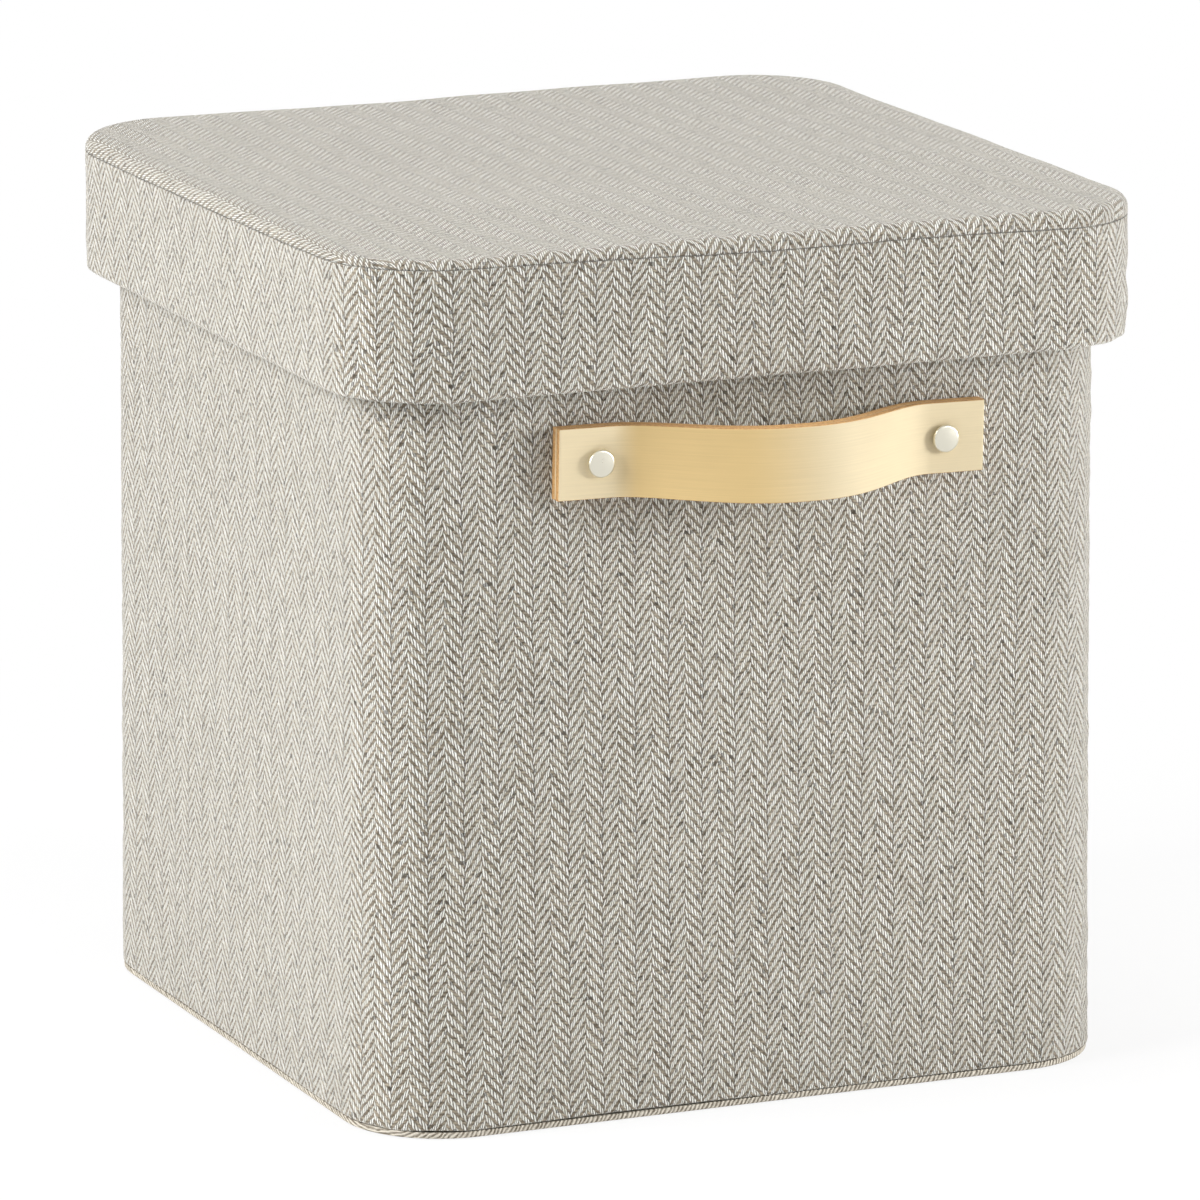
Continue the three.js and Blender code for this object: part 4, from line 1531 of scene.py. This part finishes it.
@dataclass(frozen=True)
class SoftBox:
    """A square lamp that faces the object."""

    name: str
    place: tuple[float, float, float]  # metres
    size: float  # side in metres
    power: float  # watts
    aim_height: float = 0.15  # metres, about the middle of the object

    def build(self) -> None:
        """Adds the lamp."""
        data = bpy.data.lights.new(self.name, "AREA")
        data.shape = "SQUARE"
        data.size = self.size
        data.energy = self.power
        lamp = bpy.data.objects.new(self.name, data)
        lamp.location = self.place
        aim = Vector((0, 0, self.aim_height)) - Vector(self.place)
        lamp.rotation_euler = aim.to_track_quat("-Z", "Y").to_euler()
        bpy.context.scene.collection.objects.link(lamp)


@dataclass
class Studio:
    """A white floor, and soft boxes at the left, overhead, low at the right and in front.

    The floor is open where the object stands on it, so that a lamp below lights the underside
    and nothing else.
    """

    azimuth: float = -23.41  # degrees
    elevation: float = 13.0
    distance: float = 3.381  # metres
    lens: float = 277.8
    shift: tuple[float, float] = (0.0021, -0.0104)  # shares of the frame's width
    floor_half: float = 9.0  # metres
    floor_drop: float = 0.0003  # metres that the floor lies below the object
    opening_inset: float = 3.0  # mm from the base's edge to the floor's opening
    opening_radius: float = 37.0  # mm
    opening_steps: int = 8  # round each corner
    floor_glow: float = 0.85  # share of the floor's white that no shadow dims, by the object
    glow_span: tuple[float, float] = (0.22, 0.6)  # metres out from by the object to all white
    world_strength: float = 0.12
    soft_boxes: tuple[SoftBox, ...] = (
        SoftBox("key", (-2.3, -0.15, 1.35), 1.4, 77.0),
        SoftBox("overhead", (-0.2, 0.3, 3.0), 1.2, 35.0),
        SoftBox("side", (1.25, -0.8, 0.45), 0.4, 17.8),
        SoftBox("front", (1.1, -1.6, 1.7), 0.6, 8.8),
        SoftBox("below", (0.0, 0.0, -1.2), 0.8, 11.0),
    )

    def shown(self, shading: Shading) -> bpy.types.Node:
        """1 where the camera looks straight on, or by a mirror or through glass, else 0."""
        rays = shading.node("ShaderNodeLightPath").outputs
        seen = shading.maths("MAXIMUM", rays["Is Camera Ray"], rays["Is Glossy Ray"])
        return shading.maths("MAXIMUM", seen, rays["Is Transmission Ray"])

    def opening(self) -> list[tuple[float, float]]:
        """The floor's opening under the base, in metres: a rounded square."""
        _, high = box_mm("base_cover_cloth")
        radius = self.opening_radius
        centre = (float(high[0]) - self.opening_inset - radius) * math.sqrt(2)
        turns = np.linspace(-math.pi / 4, math.pi / 4, self.opening_steps + 1)
        points = []
        for corner in range(4):
            middle = (corner + 0.5) * math.pi / 2
            for turn in turns + middle:
                points.append((
                    (centre * math.cos(middle) + radius * math.cos(turn)) * MM,
                    (centre * math.sin(middle) + radius * math.sin(turn)) * MM,
                ))
        return points

    def paper(self) -> bpy.types.Material:
        """White paper that shows white, keeps a soft shadow and is clear from below."""
        material = bpy.data.materials.new("white_paper")
        material.use_nodes = True
        shading = Shading(material.node_tree)
        shading.tree.nodes.clear()
        shown = self.shown(shading)
        away = shading.vector("LENGTH", shading.solid()).outputs["Value"]
        glow = shading.ramp(away, self.glow_span, (self.floor_glow, 1.0), smooth=True)
        share = shading.maths("MULTIPLY", shown, glow)
        paper = shading.node("ShaderNodeBsdfDiffuse", {"Color": (0.92, 0.92, 0.92, 1)})
        white = shading.node("ShaderNodeEmission", {"Color": (1, 1, 1, 1), "Strength": 1.0})
        mixed = shading.node("ShaderNodeMixShader", (share, paper, white))
        under = shading.node("ShaderNodeNewGeometry").outputs["Backfacing"]
        clear = shading.node("ShaderNodeBsdfTransparent")
        sided = shading.node("ShaderNodeMixShader", (under, mixed, clear))
        shading.node("ShaderNodeOutputMaterial", (sided,))
        return material

    def floor(self) -> None:
        """A wide white floor round the opening."""
        opening = self.opening()
        count = len(opening)
        reach = self.floor_half / max(x for x, _ in opening)
        corners = [(x * k, y * k, 0.0) for k in (reach, 1.0) for x, y in opening]
        mesh = bpy.data.meshes.new("floor")
        mesh.from_pydata(corners, [], ring_quads(0, count, count))
        mesh.materials.append(self.paper())
        floor = bpy.data.objects.new("floor", mesh)
        floor.location.z = -self.floor_drop
        bpy.context.scene.collection.objects.link(floor)
        floor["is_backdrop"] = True

    def world(self) -> None:
        """Even light from all round; the camera and polished metal see it as white."""
        world = bpy.data.worlds.new("studio")
        world.use_nodes = True
        shading = Shading(world.node_tree)
        shading.tree.nodes.clear()
        strength = shading.ramp(self.shown(shading), (0.0, 1.0), (self.world_strength, 1.0))
        light = shading.node(
            "ShaderNodeBackground", {"Color": (1, 1, 1, 1), "Strength": strength}
        )
        shading.node("ShaderNodeOutputWorld", (light,))
        bpy.context.scene.world = world

    def camera(self) -> None:
        """A long lens that looks down a little from the front left."""
        low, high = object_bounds()
        target = Vector((0, 0, (low.z + high.z) / 2))
        a, e = math.radians(self.azimuth), math.radians(self.elevation)
        back = Vector((math.sin(a) * math.cos(e), -math.cos(a) * math.cos(e), math.sin(e)))
        data = bpy.data.cameras.new("camera")
        data.lens = self.lens
        data.shift_x, data.shift_y = self.shift
        camera = bpy.data.objects.new("camera", data)
        camera.location = target + back * self.distance
        camera.rotation_euler = (-back).to_track_quat("-Z", "Y").to_euler()
        bpy.context.scene.collection.objects.link(camera)
        bpy.context.scene.camera = camera

    def build(self) -> None:
        """Sets up floor, light and camera."""
        bpy.context.scene.view_settings.view_transform = "Standard"
        self.camera()
        self.floor()
        self.world()
        for soft_box in self.soft_boxes:
            soft_box.build()


def main() -> None:
    """Loads the frame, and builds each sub-assembly."""
    logging.basicConfig(level=logging.INFO, format="%(name)s: %(message)s")
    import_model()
    Studio().build()
    finishes = Finishes()
    handle = Handle(finishes)
    Bin(finishes=finishes, rivets=handle.rivet_places()).build()
    Lid(finishes=finishes).build()
    handle.build()


if __name__ == "__main__":
    main()
